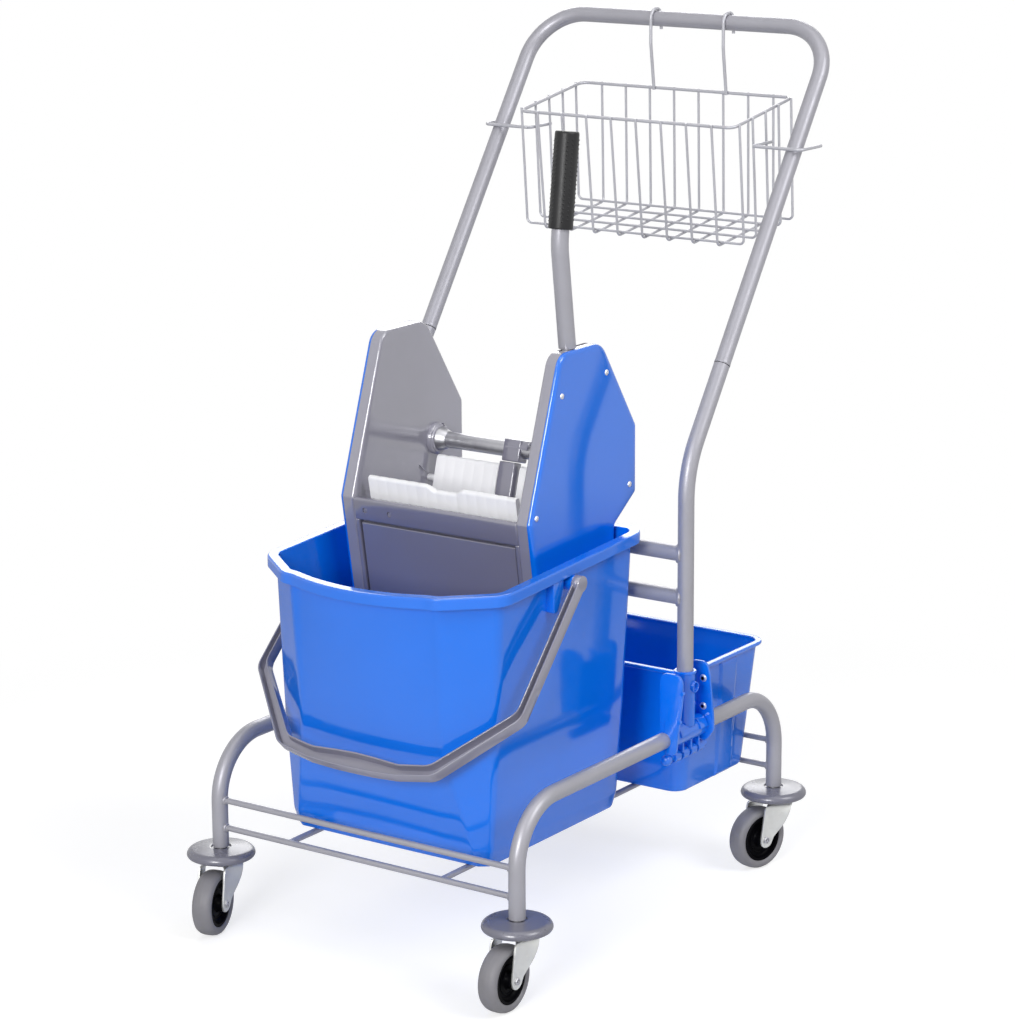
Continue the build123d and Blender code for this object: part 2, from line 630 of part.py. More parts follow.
def bucket_shell(base_z, grow):
    """Solid through the bucket's base, toe, crease and rim sections, moved outwards by grow."""
    with BuildPart() as shell:
        with BuildSketch(Plane.XY.offset(base_z)):
            add(bucket_outline(*BASE_SECTION, grow))
        with BuildSketch(Plane.XY.offset(BASE_Z + TOE_H)):
            add(bucket_outline(*TOE_SECTION, grow))
        with BuildSketch(Plane.XY.offset(BASE_Z + CREASE_H)):
            add(bucket_outline(*CREASE_SECTION, grow))
        with BuildSketch(RIM_PLANE):
            add(bucket_outline(*RIM_SECTION, grow))
        loft(ruled=True)
    return shell.part


# Hollow of the bucket, less the two ledges that the wringer stands on
ledge_in = WRINGER_HALF - LEDGE_REACH
ledge_y = SHAFT_Y - (FOOT_FRONT - FOOT_BACK) / 2
with BuildPart() as hollow:
    add(bucket_shell(BASE_Z + BUCKET_WALL, -BUCKET_WALL))
    for sign in SIDES.values():
        with Locations((sign * (ledge_in + RIM_HALF) / 2, ledge_y, LEDGE_Z - LEDGE_T / 2)):
            Box(RIM_HALF - ledge_in, LEDGE_LENGTH, LEDGE_T, mode=Mode.SUBTRACT)

# Bucket with its flange, skirt, bail pivots and the rib beside each pivot
boss_in = BASE_HALF
boss_out = BAIL_X - BAIL_T / 2 - REST_GAP
stud_out = BAIL_X + BAIL_T / 2 + STUD_OVER
with BuildPart() as bucket:
    add(bucket_shell(BASE_Z, 0))
    with BuildSketch(RIM_PLANE):
        add(bucket_outline(*RIM_SECTION, FLANGE_W))
    extrude(amount=-FLANGE_T)
    with BuildSketch(RIM_PLANE):
        add(bucket_outline(*RIM_SECTION, FLANGE_W))
        add(bucket_outline(*RIM_SECTION, FLANGE_W - SKIRT_T), mode=Mode.SUBTRACT)
    extrude(amount=-SKIRT_H)
    for sign in SIDES.values():
        with Locations((sign * (boss_in + boss_out) / 2, PIVOT_Y, PIVOT_Z)):
            Cylinder(PIVOT_BOSS_R, boss_out - boss_in, rotation=(0, 90, 0))
        with Locations((sign * (boss_in + stud_out) / 2, PIVOT_Y, PIVOT_Z)):
            Cylinder(PIVOT_STUD_R, stud_out - boss_in, rotation=(0, 90, 0))
        rib_out = RIM_HALF + FLANGE_W - SKIRT_T
        rib_top = PIVOT_Z + PIVOT_DROP - RIB_FORWARD * tan(radians(RIM_SLOPE)) - FLANGE_T
        with Locations((sign * (boss_in + rib_out) / 2, PIVOT_Y - RIB_FORWARD, rib_top - RIB_DROP / 2)):
            Box(rib_out - boss_in, RIB_W, RIB_DROP)
    add(hollow.part, mode=Mode.SUBTRACT)
save(bucket.part, "bucket")

# Bail: a flat bow on the two pivots, hanging forward and down, wider at its grip. It reaches past
# the crease in the bucket's front by the finger gap.
bow_in = BAIL_X - BAIL_T / 2
bow_run = PIVOT_Y - CREASE_FRONT_Y + CREASE_SPOUT_DEPTH + FINGER_GAP
BAIL_REACH = (bow_run + BAIL_W / 2 * sin(radians(BAIL_DROP))) / cos(radians(BAIL_DROP))
BAIL_ARM = BAIL_REACH - BAIL_TURN
grip_corner = (BAIL_GRIP_HALF + BAIL_FLARE, BAIL_REACH + BAIL_END_W)
grip_mid = (0, BAIL_REACH + BAIL_GRIP_W)
BAIL_PLANE = Plane(
    origin=(0, PIVOT_Y, PIVOT_Z),
    x_dir=(1, 0, 0),
    z_dir=(0, sin(radians(BAIL_DROP)), -cos(radians(BAIL_DROP))),
)
with BuildPart() as bail:
    with BuildSketch(BAIL_PLANE) as bow:
        with BuildLine():
            half_bow = Polyline(
                (0, BAIL_REACH),
                (BAIL_GRIP_HALF, BAIL_REACH),
                (bow_in + BAIL_SPREAD, BAIL_ARM),
                (bow_in, 0),
                (bow_in + BAIL_T, 0),
                (bow_in + BAIL_T + BAIL_SPREAD, BAIL_ARM + BAIL_HEEL),
                grip_corner,
            )
            mirror(half_bow, about=Plane.YZ)
            ThreePointArc(grip_corner, grip_mid, (-grip_corner[0], grip_corner[1]))
        make_face()
        bends = [corner for corner in bow.vertices() if corner.Y > BAIL_T and abs(corner.X) > BAIL_T]
        fillet(bends, BAIL_ROUND)
    extrude(amount=BAIL_W / 2, both=True)
    for sign in SIDES.values():
        with Locations((sign * BAIL_X, PIVOT_Y, PIVOT_Z)):
            Cylinder(BAIL_W / 2, BAIL_T, rotation=(0, 90, 0))
    with Locations((0, PIVOT_Y, PIVOT_Z)):
        Cylinder(PIVOT_STUD_R + FIT, 3 * BAIL_X, rotation=(0, 90, 0), mode=Mode.SUBTRACT)
save(bail.part, "bail")

# Wringer cheeks and covers share one outline
CHEEK_CORNERS = [
    (-FOOT_FRONT, -SHAFT_RISE),
    (-BROW_FRONT, -BROW_DROP),
    (-TOP_FRONT, TOP_RISE),
    (-TOP_BACK, TOP_RISE),
    (REAR_OUT, REAR_HIGH),
    (REAR_OUT, -REAR_LOW),
    (WAIST_OUT, -WAIST_DROP),
    (FOOT_BACK, -SHAFT_RISE),
]


def cheek_outline(inset=0.0):
    """Face of the cheek's outline, with its two top corners rounded, or drawn in by inset."""
    with BuildSketch() as outline:
        with BuildLine():
            Polyline(*[from_shaft(corner) for corner in CHEEK_CORNERS], close=True)
        make_face()
        if inset:
            offset(amount=-inset, kind=Kind.INTERSECTION, mode=Mode.REPLACE)
        else:
            fillet(outline.vertices().sort_by(Axis.Y)[-2:], CHEEK_ROUND)
    return outline.sketch


# Pressing jaw's plane, on its front face, and the path of its pegs round the shaft
jaw_tilt = radians(REAR_JAW_TILT)
REAR_JAW_PLANE = Plane(
    origin=(0, *from_shaft(REAR_JAW_TOP)),
    x_dir=(1, 0, 0),
    z_dir=(0, -cos(jaw_tilt), sin(jaw_tilt)),
)
peg_at = REAR_JAW_PLANE.from_local_coords(Vector(0, -PEG_DROP, -REAR_JAW_T / 2))
peg_orbit = hypot(peg_at.Y - SHAFT_Y, peg_at.Z - SHAFT_Z)
peg_angle = degrees(atan2(peg_at.Z - SHAFT_Z, peg_at.Y - SHAFT_Y))
screw_spots = [from_shaft(spot) for spot in COVER_SCREWS]

with BuildPart() as cheek:
    with BuildSketch(Plane.YZ.offset(CHEEK_IN)):
        add(cheek_outline())
    extrude(amount=CHEEK_T)
    with BuildSketch(Plane.YZ.offset(CHEEK_IN + CHEEK_WALL)):
        add(cheek_outline(CHEEK_BAND))
    extrude(amount=CHEEK_T, mode=Mode.SUBTRACT)
    with BuildSketch(Plane.YZ.offset(CHEEK_IN)):
        with Locations((SHAFT_Y, SHAFT_Z)):
            Circle(BUSH_R + FIT)
        with BuildLine():
            peg_path = CenterArc((SHAFT_Y, SHAFT_Z), peg_orbit, peg_angle, -LEVER_SWING)
        SlotArc(peg_path, 2 * (PEG_R + SLIDE_GAP))
    extrude(amount=CHEEK_T, mode=Mode.SUBTRACT)
    with BuildSketch(Plane.YZ.offset(WRINGER_HALF - COVER_SCREW_LENGTH)):
        with Locations(*screw_spots):
            Circle(SCREW_R + FIT)
    extrude(amount=COVER_SCREW_LENGTH, mode=Mode.SUBTRACT)
save(mirror(cheek.part, about=Plane.YZ), "cheek_left")

# The right cheek also lets the lever's plate out through its top
lever_angle = degrees(atan2(LEVER_FOOT[1], LEVER_FOOT[0]))
slot_reach = 2 * hypot(TOP_FRONT, TOP_RISE)
slot_end = lever_angle - LEVER_SWING - SLOT_BACK_MARGIN
slot_angles = (lever_angle + SLOT_MARGIN, lever_angle - LEVER_SWING / 2, slot_end)
slot_rim = [(slot_reach * cos(radians(angle)), slot_reach * sin(radians(angle))) for angle in slot_angles]
with BuildPart() as cheek_right:
    add(cheek.part)
    with BuildSketch(Plane.YZ.offset(CHEEK_IN + CHEEK_WALL)):
        with BuildLine():
            Polyline((SHAFT_Y, SHAFT_Z), *[from_shaft(point) for point in slot_rim], close=True)
        make_face()
    extrude(amount=LEVER_PLATE_T + 2 * BODY_GAP, mode=Mode.SUBTRACT)
save(cheek_right.part, "cheek_right")

with BuildPart() as cover:
    with BuildSketch(Plane.YZ.offset(COVER_IN)):
        add(cheek_outline())
    extrude(amount=COVER_T)
    fillet(cover.faces().sort_by(Axis.X)[-1].outer_wire().edges(), COVER_ROUND)
    with BuildSketch(Plane.YZ.offset(COVER_IN)):
        with Locations(*screw_spots):
            Circle(SCREW_R + FIT)
    extrude(amount=COVER_T, mode=Mode.SUBTRACT)
save(cover.part, "cover_right")
save(mirror(cover.part, about=Plane.YZ), "cover_left")

with BuildPart() as cover_screw_set:
    with BuildSketch(Plane.YZ.offset(WRINGER_HALF - COVER_SCREW_LENGTH)):
        with Locations(*screw_spots):
            Circle(SCREW_R)
    extrude(amount=COVER_SCREW_LENGTH)
    with BuildSketch(Plane.YZ.offset(WRINGER_HALF)):
        with Locations(*screw_spots):
            Circle(COVER_SCREW_HEAD_R)
    extrude(amount=COVER_SCREW_HEAD_T)
cover_screws = [*cover_screw_set.part.solids()]
cover_screws += [*mirror(cover_screw_set.part, about=Plane.YZ).solids()]
save(Compound(children=cover_screws), "cover_screws")

# Front panel between the cheeks, along their lower front edges, with a recess below its top bar
panel_rise = SHAFT_RISE - BROW_DROP
panel_run = BROW_FRONT - FOOT_FRONT
panel_length = hypot(panel_rise, panel_run)
PANEL_PLANE = Plane(
    origin=(0, *from_shaft((-BROW_FRONT, -BROW_DROP))),
    x_dir=(1, 0, 0),
    z_dir=(0, -panel_rise, -panel_run),
)
panel_screws_at = [(x, -PANEL_SCREW_DROP) for x in PANEL_SCREW_X]
with BuildPart() as front_panel:
    with BuildSketch(PANEL_PLANE):
        with Locations((0, -panel_length / 2)):
            Rectangle(2 * CHEEK_IN, panel_length)
        with Locations(*panel_screws_at):
            Circle(SCREW_R + FIT, mode=Mode.SUBTRACT)
    extrude(amount=-PANEL_T)
    with BuildSketch(PANEL_PLANE):
        with Locations((0, -(panel_length + PANEL_BAR) / 2)):
            Rectangle(2 * (CHEEK_IN - PANEL_BORDER), panel_length - PANEL_BAR)
    extrude(amount=-PANEL_RECESS, mode=Mode.SUBTRACT)
save(front_panel.part, "front_panel")

with BuildPart() as panel_screws:
    with BuildSketch(PANEL_PLANE):
        with Locations(*panel_screws_at):
            Circle(SCREW_R)
    extrude(amount=-PANEL_T)
    with BuildSketch(PANEL_PLANE):
        with Locations(*panel_screws_at):
            Circle(COVER_SCREW_HEAD_R)
    extrude(amount=COVER_SCREW_HEAD_T)
save(panel_screws.part, "panel_screws")

# Front jaw, fixed between the cheeks, with a dip in its top edge
jaw_run = FRONT_JAW_FOOT[0] - FRONT_JAW_TOP[0]
jaw_rise = FRONT_JAW_TOP[1] - FRONT_JAW_FOOT[1]
jaw_length = hypot(jaw_run, jaw_rise)
FRONT_JAW_PLANE = Plane(
    origin=(0, *from_shaft(FRONT_JAW_TOP)),
    x_dir=(1, 0, 0),
    z_dir=(0, -jaw_rise, -jaw_run),
)
with BuildPart() as front_jaw:
    with BuildSketch(FRONT_JAW_PLANE):
        with BuildLine():
            Polyline(
                (-CHEEK_IN, -jaw_length),
                (-CHEEK_IN, 0),
                (-JAW_DIP_HALF - JAW_DIP_RUN, 0),
                (-JAW_DIP_HALF, -JAW_DIP),
                (JAW_DIP_HALF, -JAW_DIP),
                (JAW_DIP_HALF + JAW_DIP_RUN, 0),
                (CHEEK_IN, 0),
                (CHEEK_IN, -jaw_length),
                close=True,
            )
        make_face()
    extrude(amount=JAW_T / 2, both=True)
save(front_jaw.part, "front_jaw")

# Perforated floor between the cheeks
floor_front = SHAFT_Y - FOOT_FRONT + PANEL_T + SLIDE_GAP
floor_depth = SHAFT_Y - floor_front
with BuildPart() as wringer_floor:
    with BuildSketch(Plane.XY.offset(LEDGE_Z + REST_GAP + FLOOR_LIFT)):
        with Locations((0, floor_front + floor_depth / 2)):
            Rectangle(2 * CHEEK_IN, floor_depth)
            across = int(2 * CHEEK_IN / FLOOR_HOLE_STEP) - 1
            along = int(floor_depth / FLOOR_HOLE_STEP) - 1
            with GridLocations(FLOOR_HOLE_STEP, FLOOR_HOLE_STEP, across, along):
                Circle(FLOOR_HOLE_R, mode=Mode.SUBTRACT)
    extrude(amount=FLOOR_T)
save(wringer_floor.part, "wringer_floor")

# Flanged bushes that carry the shaft in the cheeks
with BuildPart() as bush:
    with BuildSketch(Plane.YZ.offset(CHEEK_IN - BUSH_FLANGE_T)):
        with Locations((SHAFT_Y, SHAFT_Z)):
            Circle(BUSH_FLANGE_R)
    extrude(amount=BUSH_FLANGE_T)
    with BuildSketch(Plane.YZ.offset(CHEEK_IN)):
        with Locations((SHAFT_Y, SHAFT_Z)):
            Circle(BUSH_R)
    extrude(amount=CHEEK_WALL)
    with Locations((CHEEK_IN, SHAFT_Y, SHAFT_Z)):
        Cylinder(SHAFT_R + FIT, 4 * BUSH_FLANGE_T, rotation=(0, 90, 0), mode=Mode.SUBTRACT)
save(Compound(children=[bush.part, mirror(bush.part, about=Plane.YZ)]), "shaft_bushes")

# Shaft, press arm, pressing jaw, lever and grip turn together
with BuildPart() as shaft:
    with BuildSketch(Plane.YZ):
        with Locations((SHAFT_Y, SHAFT_Z)):
            Circle(SHAFT_R)
            Circle(SHAFT_R - SHAFT_WALL, mode=Mode.SUBTRACT)
    extrude(amount=PLATE_OUT + BODY_GAP, both=True)
save(shaft.part, "shaft")

with BuildPart() as rear_jaw:
    with BuildSketch(REAR_JAW_PLANE):
        with BuildLine():
            Polyline(
                (-REAR_JAW_HALF, -REAR_JAW_LENGTH),
                (-REAR_JAW_HALF, 0),
                (-JAW_NOTCH_HALF, 0),
                (-JAW_NOTCH_HALF, -JAW_NOTCH),
                (JAW_NOTCH_HALF, -JAW_NOTCH),
                (JAW_NOTCH_HALF, 0),
                (REAR_JAW_HALF, 0),
                (REAR_JAW_HALF, -REAR_JAW_LENGTH),
                close=True,
            )
        make_face()
    extrude(amount=-REAR_JAW_T)
    for sign in SIDES.values():
        with Locations((sign * (REAR_JAW_HALF + PEG_LENGTH / 2), peg_at.Y, peg_at.Z)):
            Cylinder(PEG_R, PEG_LENGTH, rotation=(0, 90, 0))
save(rear_jaw.part, "rear_jaw")

shaft_up = REAR_JAW_PLANE.to_local_coords(Vector(0, SHAFT_Y, SHAFT_Z)).Y
with BuildPart() as press_arm:
    with BuildSketch(REAR_JAW_PLANE.offset(-REAR_JAW_T / 2)):
        with Locations((0, (shaft_up - JAW_NOTCH) / 2)):
            Rectangle(ARM_W, shaft_up + JAW_NOTCH)
    extrude(amount=ARM_T / 2, both=True)
    with Locations((0, SHAFT_Y, SHAFT_Z)):
        Cylinder(SHAFT_R + ARM_BLOCK_WALL, ARM_W, rotation=(0, 90, 0))
        Cylinder(SHAFT_R + FIT, 2 * ARM_W, rotation=(0, 90, 0), mode=Mode.SUBTRACT)
save(press_arm.part, "press_arm")

lever_points = [Vector(LEVER_X, *from_shaft(point)) for point in (LEVER_FOOT, LEVER_KNEE, LEVER_TOP)]
lever_tube_r = LEVER_TUBE_D / 2
lever_tube = bent_tube(lever_points, LEVER_BEND, lever_tube_r, lever_tube_r - LEVER_TUBE_WALL)
with BuildPart() as lever:
    with BuildSketch(Plane.YZ.offset(PLATE_IN)):
        with Locations((SHAFT_Y, SHAFT_Z)):
            Circle(LEVER_HUB_R)
        with Locations(from_shaft(LEVER_FOOT)):
            Circle(LEVER_TIP_R)
        make_hull()
        with Locations((SHAFT_Y, SHAFT_Z)):
            Circle(SHAFT_R + FIT, mode=Mode.SUBTRACT)
    extrude(amount=LEVER_PLATE_T)
    add(lever_tube)
save(lever.part, "lever")

grip_axis = (lever_points[2] - lever_points[1]).normalized()
with BuildPart() as grip:
    with BuildSketch(Plane(origin=lever_points[2] + grip_axis * GRIP_CAP, z_dir=grip_axis)):
        Circle(GRIP_D / 2)
    extrude(amount=-GRIP_LENGTH)
    fillet(grip.edges().group_by(Axis.Z)[-1], GRIP_CAP)
    with BuildSketch(Plane(origin=lever_points[2], z_dir=grip_axis)):
        Circle(lever_tube_r + FIT)
    extrude(amount=-GRIP_LENGTH, mode=Mode.SUBTRACT)
save(grip.part, "grip")


def tray_outline(half, length, grow=0.0):
    """Face of the tray's outline, moved outwards by grow."""
    with BuildSketch() as outline:
        with Locations((0, TRAY_Y + length / 2)):
            RectangleRounded(2 * (half + grow), length + 2 * grow, TRAY_CORNER + grow)
    return outline.sketch


# Tray: upright front wall, the other walls lean out, flange round the rim
with BuildPart() as tray_hollow:
    with BuildSketch(Plane.XY.offset(BASE_Z + TRAY_WALL)):
        add(tray_outline(TRAY_BASE_HALF, TRAY_BASE_LENGTH, -TRAY_WALL))
    with BuildSketch(Plane.XY.offset(BASE_Z + TRAY_H)):
        add(tray_outline(TRAY_RIM_HALF, TRAY_RIM_LENGTH, -TRAY_WALL))
    loft(ruled=True)

with BuildPart() as tray:
    with BuildSketch(Plane.XY.offset(BASE_Z)):
        add(tray_outline(TRAY_BASE_HALF, TRAY_BASE_LENGTH))
    with BuildSketch(Plane.XY.offset(BASE_Z + TRAY_H)):
        add(tray_outline(TRAY_RIM_HALF, TRAY_RIM_LENGTH))
    loft(ruled=True)
    with BuildSketch(Plane.XY.offset(BASE_Z + TRAY_H)):
        add(tray_outline(TRAY_RIM_HALF, TRAY_RIM_LENGTH, TRAY_FLANGE_W))
    extrude(amount=-TRAY_FLANGE_T)
    add(tray_hollow.part, mode=Mode.SUBTRACT)
save(tray.part, "tray")

# Basket corners in the YZ plane, then its rim, wires, hooks and side arms
RIM_BACK = Vector(0, BAR.Y, BAR.Z - BASKET_TOP_DROP)
RIM_FRONT = RIM_BACK - Vector(0, BASKET_RIM_DEPTH, BASKET_RIM_FALL)
FLOOR_BACK = RIM_BACK + Vector(0, BASKET_FLOOR_BACK, -BASKET_FLOOR_DROP)
FLOOR_FRONT = FLOOR_BACK - Vector(0, BASKET_FLOOR_DEPTH, BASKET_FLOOR_FALL)
RIM_WIRE_R = RIM_WIRE_D / 2
WIRE_R = WIRE_D / 2
weld_out = RIM_WIRE_R + WIRE_R + FIT      # wall wires stand outside the rim wire
wire_top = RIM_WIRE_R                     # and end level with the top of it

with BuildPart() as basket_rim:
    rim_side = Vector(BASKET_RIM_HALF, 0, 0)
    with BuildLine() as rim_path:
        FilletPolyline(
            RIM_FRONT + rim_side,
            RIM_BACK + rim_side,
            RIM_BACK - rim_side,
            RIM_FRONT - rim_side,
            radius=BASKET_CORNER,
            close=True,
        )
    with BuildSketch(Plane(origin=rim_path.line @ 0, z_dir=rim_path.line % 0)):
        Circle(RIM_WIRE_R)
    sweep()
save(basket_rim.part, "basket_rim")

long_wires = []
long_step = 2 * (BASKET_RIM_HALF - WIRE_INSET) / (LONG_WIRES - 1)
for wire in range(LONG_WIRES):
    across = Vector(WIRE_INSET - BASKET_RIM_HALF + wire * long_step, 0, 0)
    front_top = RIM_FRONT + Vector(0, -weld_out, wire_top)
    back_top = RIM_BACK + Vector(0, weld_out, wire_top)
    corners = [point + across for point in (front_top, FLOOR_FRONT, FLOOR_BACK, back_top)]
    long_wires.append(bent_tube(corners, WIRE_BEND, WIRE_R))
save(Compound(children=long_wires), "basket_long_wires")

cross_wires = []
floor_up = Vector(0, -BASKET_FLOOR_FALL, BASKET_FLOOR_DEPTH).normalized() * (WIRE_D + FIT)
floor_side = Vector(BASKET_FLOOR_HALF, 0, 0)
top_side = Vector(BASKET_RIM_HALF + weld_out, 0, 0)
for wire in range(CROSS_WIRES):
    share = CROSS_INSET + wire * (1 - 2 * CROSS_INSET) / (CROSS_WIRES - 1)
    top_point = RIM_FRONT + (RIM_BACK - RIM_FRONT) * share + Vector(0, 0, wire_top)
    floor_point = FLOOR_FRONT + (FLOOR_BACK - FLOOR_FRONT) * share + floor_up
    floor_ends = [floor_point - floor_side, floor_point + floor_side]
    corners = [top_point - top_side, *floor_ends, top_point + top_side]
    cross_wires.append(bent_tube(corners, WIRE_BEND, WIRE_R))
save(Compound(children=cross_wires), "basket_cross_wires")

# Hooks over the top bar, from the front of the back rim wire
hook_orbit = TUBE_R + RIM_WIRE_R + BODY_GAP
hook_foot = RIM_BACK - Vector(0, RIM_WIRE_D + FIT, RIM_WIRE_R)
hook_knee = BAR - Vector(0, hook_orbit, HOOK_KNEE)
hook_front = BAR + Vector(0, -hook_orbit, hook_orbit)
hook_back = BAR + Vector(0, hook_orbit, hook_orbit)
hook_end = hook_back - Vector(0, 0, HOOK_TAIL)
hooks = []
for sign in SIDES.values():
    across = Vector(HOOK_SHIFT + sign * HOOK_SPREAD / 2, 0, 0)
    corners = [point + across for point in (hook_foot, hook_knee, hook_front, hook_back, hook_end)]
    hooks.append(bent_tube(corners, hook_orbit * HOOK_ROUND, RIM_WIRE_R))
save(Compound(children=hooks), "basket_hooks")

# Side arms: a leg on the side wires, a run in front of the upright, a leg back outside it
arm_z = RIM_FRONT.Z - ARM_DROP
tilt_cos = cos(radians(HANDLE_TILT))
upright_y = UPRIGHT_Y + (arm_z - BEND_Z) * tan(radians(HANDLE_TILT))
arm_y = upright_y - (TUBE_R + RIM_WIRE_R + BODY_GAP) / tilt_cos
arm_fall = (RIM_FRONT.Z - arm_z) / (RIM_FRONT.Z - FLOOR_FRONT.Z)
side_x = top_side.X - (top_side.X - BASKET_FLOOR_HALF) * arm_fall
arm_in = side_x + WIRE_R + RIM_WIRE_R + FIT
arm_out = LEG_X + TUBE_R + RIM_WIRE_R + ARM_OUT
arms = []
for sign in SIDES.values():
    corners = [
        Vector(sign * arm_in, arm_y + ARM_LEG, arm_z),
        Vector(sign * arm_in, arm_y, arm_z),
        Vector(sign * arm_out, arm_y, arm_z),
        Vector(sign * arm_out, arm_y + ARM_LEG, arm_z),
    ]
    arms.append(bent_tube(corners, ARM_BEND, RIM_WIRE_R))
save(Compound(children=arms), "basket_arms")
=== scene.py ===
# This lesson keeps the plain tubes and wires, gives every surface a finish built from nodes, and
# models again the pieces whose edges, ribs and rims make the trolley look moulded and pressed rather
# than cut from blocks.

# %% Load the solids
import json
from math import atan2, cos, hypot, pi, radians, sin, sqrt, tan

import bpy
from mathutils import Matrix, Vector


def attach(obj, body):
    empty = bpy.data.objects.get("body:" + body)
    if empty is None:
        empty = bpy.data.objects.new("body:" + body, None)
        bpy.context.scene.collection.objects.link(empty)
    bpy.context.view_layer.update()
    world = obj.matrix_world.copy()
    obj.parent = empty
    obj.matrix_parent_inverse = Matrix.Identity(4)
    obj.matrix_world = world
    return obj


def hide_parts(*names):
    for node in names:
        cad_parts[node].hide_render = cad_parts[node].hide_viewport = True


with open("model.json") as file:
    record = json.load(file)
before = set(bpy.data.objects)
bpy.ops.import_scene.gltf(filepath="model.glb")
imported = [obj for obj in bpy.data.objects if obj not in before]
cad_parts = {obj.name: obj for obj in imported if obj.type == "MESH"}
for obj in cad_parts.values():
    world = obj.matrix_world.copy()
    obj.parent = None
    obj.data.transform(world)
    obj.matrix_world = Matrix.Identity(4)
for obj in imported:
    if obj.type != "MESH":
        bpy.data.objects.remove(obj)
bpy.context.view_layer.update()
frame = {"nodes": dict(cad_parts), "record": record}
nodes = frame["nodes"]

# %% [markdown]
# ## The camera
# The photograph was taken from the front right, a little above the basket, with a long lens. The
# camera stands at that place. Its three axes are written out, because the picture leans by less than
# half a degree and an aim point can't say that.

# %% Camera at the photograph's place
CAMERA_AT = Vector((2.17304, -3.10402, 1.40706))
TURN, RISE, LEAN = radians(35.2), radians(13.98943), radians(-0.39463)
PICTURE_H = 1024
FOCAL_PX = 3324.98
SENSOR_MM = 36
SIGHT = 60
to_camera = Vector((sin(TURN) * cos(RISE), -cos(TURN) * cos(RISE), sin(RISE)))
level_right = Vector((cos(TURN), sin(TURN), 0))
view_up = to_camera.cross(level_right)
lean_right = level_right * cos(LEAN) + view_up * sin(LEAN)
lean_up = view_up * cos(LEAN) - level_right * sin(LEAN)
bpy.ops.object.camera_add()
camera = bpy.context.object
camera.matrix_world = Matrix((lean_right, lean_up, to_camera)).transposed().to_4x4()
camera.matrix_world.translation = CAMERA_AT
camera.data.sensor_fit = "VERTICAL"
camera.data.sensor_height = SENSOR_MM
camera.data.lens = FOCAL_PX * SENSOR_MM / PICTURE_H
camera.data.clip_end = SIGHT
scene = bpy.context.scene
scene.camera = camera
print("lens", round(camera.data.lens, 1), "mm")

# %% [markdown]
# ## Nodes written as sums
# World, floor and finishes are trees of nodes. Wiring them one by one is slow, so a small class wraps
# one output of a tree: adding or multiplying two of them in Python adds the Math node that does it
# in the shader.

# %% Sockets as numbers
class Wire:
    """One output in a node tree; arithmetic on it adds Math nodes."""

    def __init__(self, tree, socket):
        self.tree = tree
        self.socket = socket

    def __add__(self, other):
        return self.tree.math("ADD", self, other)

    def __sub__(self, other):
        return self.tree.math("SUBTRACT", self, other)

    def __rsub__(self, other):
        return self.tree.math("SUBTRACT", other, self)

    def __mul__(self, other):
        return self.tree.math("MULTIPLY", self, other)

    __radd__ = __add__
    __rmul__ = __mul__


print("wires can be added, subtracted and multiplied")


# %% Trees of nodes
class Tree:
    """The nodes of a world or a material."""

    def __init__(self, owner):
        owner.use_nodes = True
        self.nodes = owner.node_tree.nodes
        self.links = owner.node_tree.links

    def node(self, kind, settings=None, out=0, **sockets):
        """A shader node: its settings, then the values or links of its sockets."""
        made = self.nodes.new("ShaderNode" + kind)
        for name, value in (settings or {}).items():
            setattr(made, name, value)
        for name, value in sockets.items():
            self.join(value, made.inputs[int(name[1:]) if name[1:].isdigit() else name])
        return Wire(self, made.outputs[out])

    def join(self, value, socket):
        """Link a wire to a socket, or set a plain value on it."""
        if isinstance(value, Wire):
            self.links.new(value.socket, socket)
        else:
            socket.default_value = value

    def math(self, operation, first, second):
        return self.node("Math", {"operation": operation}, i0=first, i1=second)

    def span(self, value, low, high, to_low=0, to_high=1, way="LINEAR"):
        """Value moved from one range to another and held there."""
        settings = {"interpolation_type": way}
        return self.node("MapRange", settings, i0=value, i1=low, i2=high, i3=to_low, i4=to_high)

    def between(self, share, first, second):
        """A colour between two colours."""
        settings = {"data_type": "RGBA"}
        return self.node("Mix", settings, out=2, i0=share, i6=first, i7=second)

    def ray(self, kind):
        """1 for rays of that kind, 0 for others."""
        return self.node("LightPath", out=f"Is {kind} Ray")


print("a tree has", [name for name in vars(Tree) if name[0] != "_"])


# %% Finishes as trees
class Finish(Tree):
    """A material with a Principled shader and the patterns that feed it."""

    def __init__(self, name, **values):
        self.material = bpy.data.materials.new(name)
        super().__init__(self.material)
        self.shader = self.nodes["Principled BSDF"]
        self.place = self.node("TexCoord", out="Object")
        self.feed(**values)

    def feed(self, **sockets):
        """Values or wires for the shader's own sockets."""
        for name, value in sockets.items():
            self.join(value, self.shader.inputs[name.replace("_", " ")])

    def noise(self, scale, detail=2, rough=0.5, stretch=None):
        """Soft noise from 0 to 1; scale is in cells for each metre, stretch per axis."""
        place = self.place
        if stretch:
            place = self.node("Mapping", Vector=place, Scale=stretch)
        return self.node("TexNoise", Vector=place, Scale=scale, Detail=detail, Roughness=rough)

    def bump(self, height, distance):
        """Height from 0 to 1 as a bump of that many metres."""
        self.feed(Normal=self.node("Bump", Height=height, Distance=distance))


print("a finish adds", [name for name in vars(Finish) if name[0] != "_"])

# %% [markdown]
# ## Light and floor
# Product pictures like this one use soft lamps and a white sweep. The main lamp stands low in front,
# left of the camera, and draws the stripes along the tubes; a broad one on the right lights the
# bucket's side, weaker ones fill from high in front and from above, and one behind, far to the left,
# edges the tubes and shines on top of the bucket's rim.

# %% Lamps
scene.view_settings.view_transform = "Standard"
WHITE = (1, 1, 1, 1)
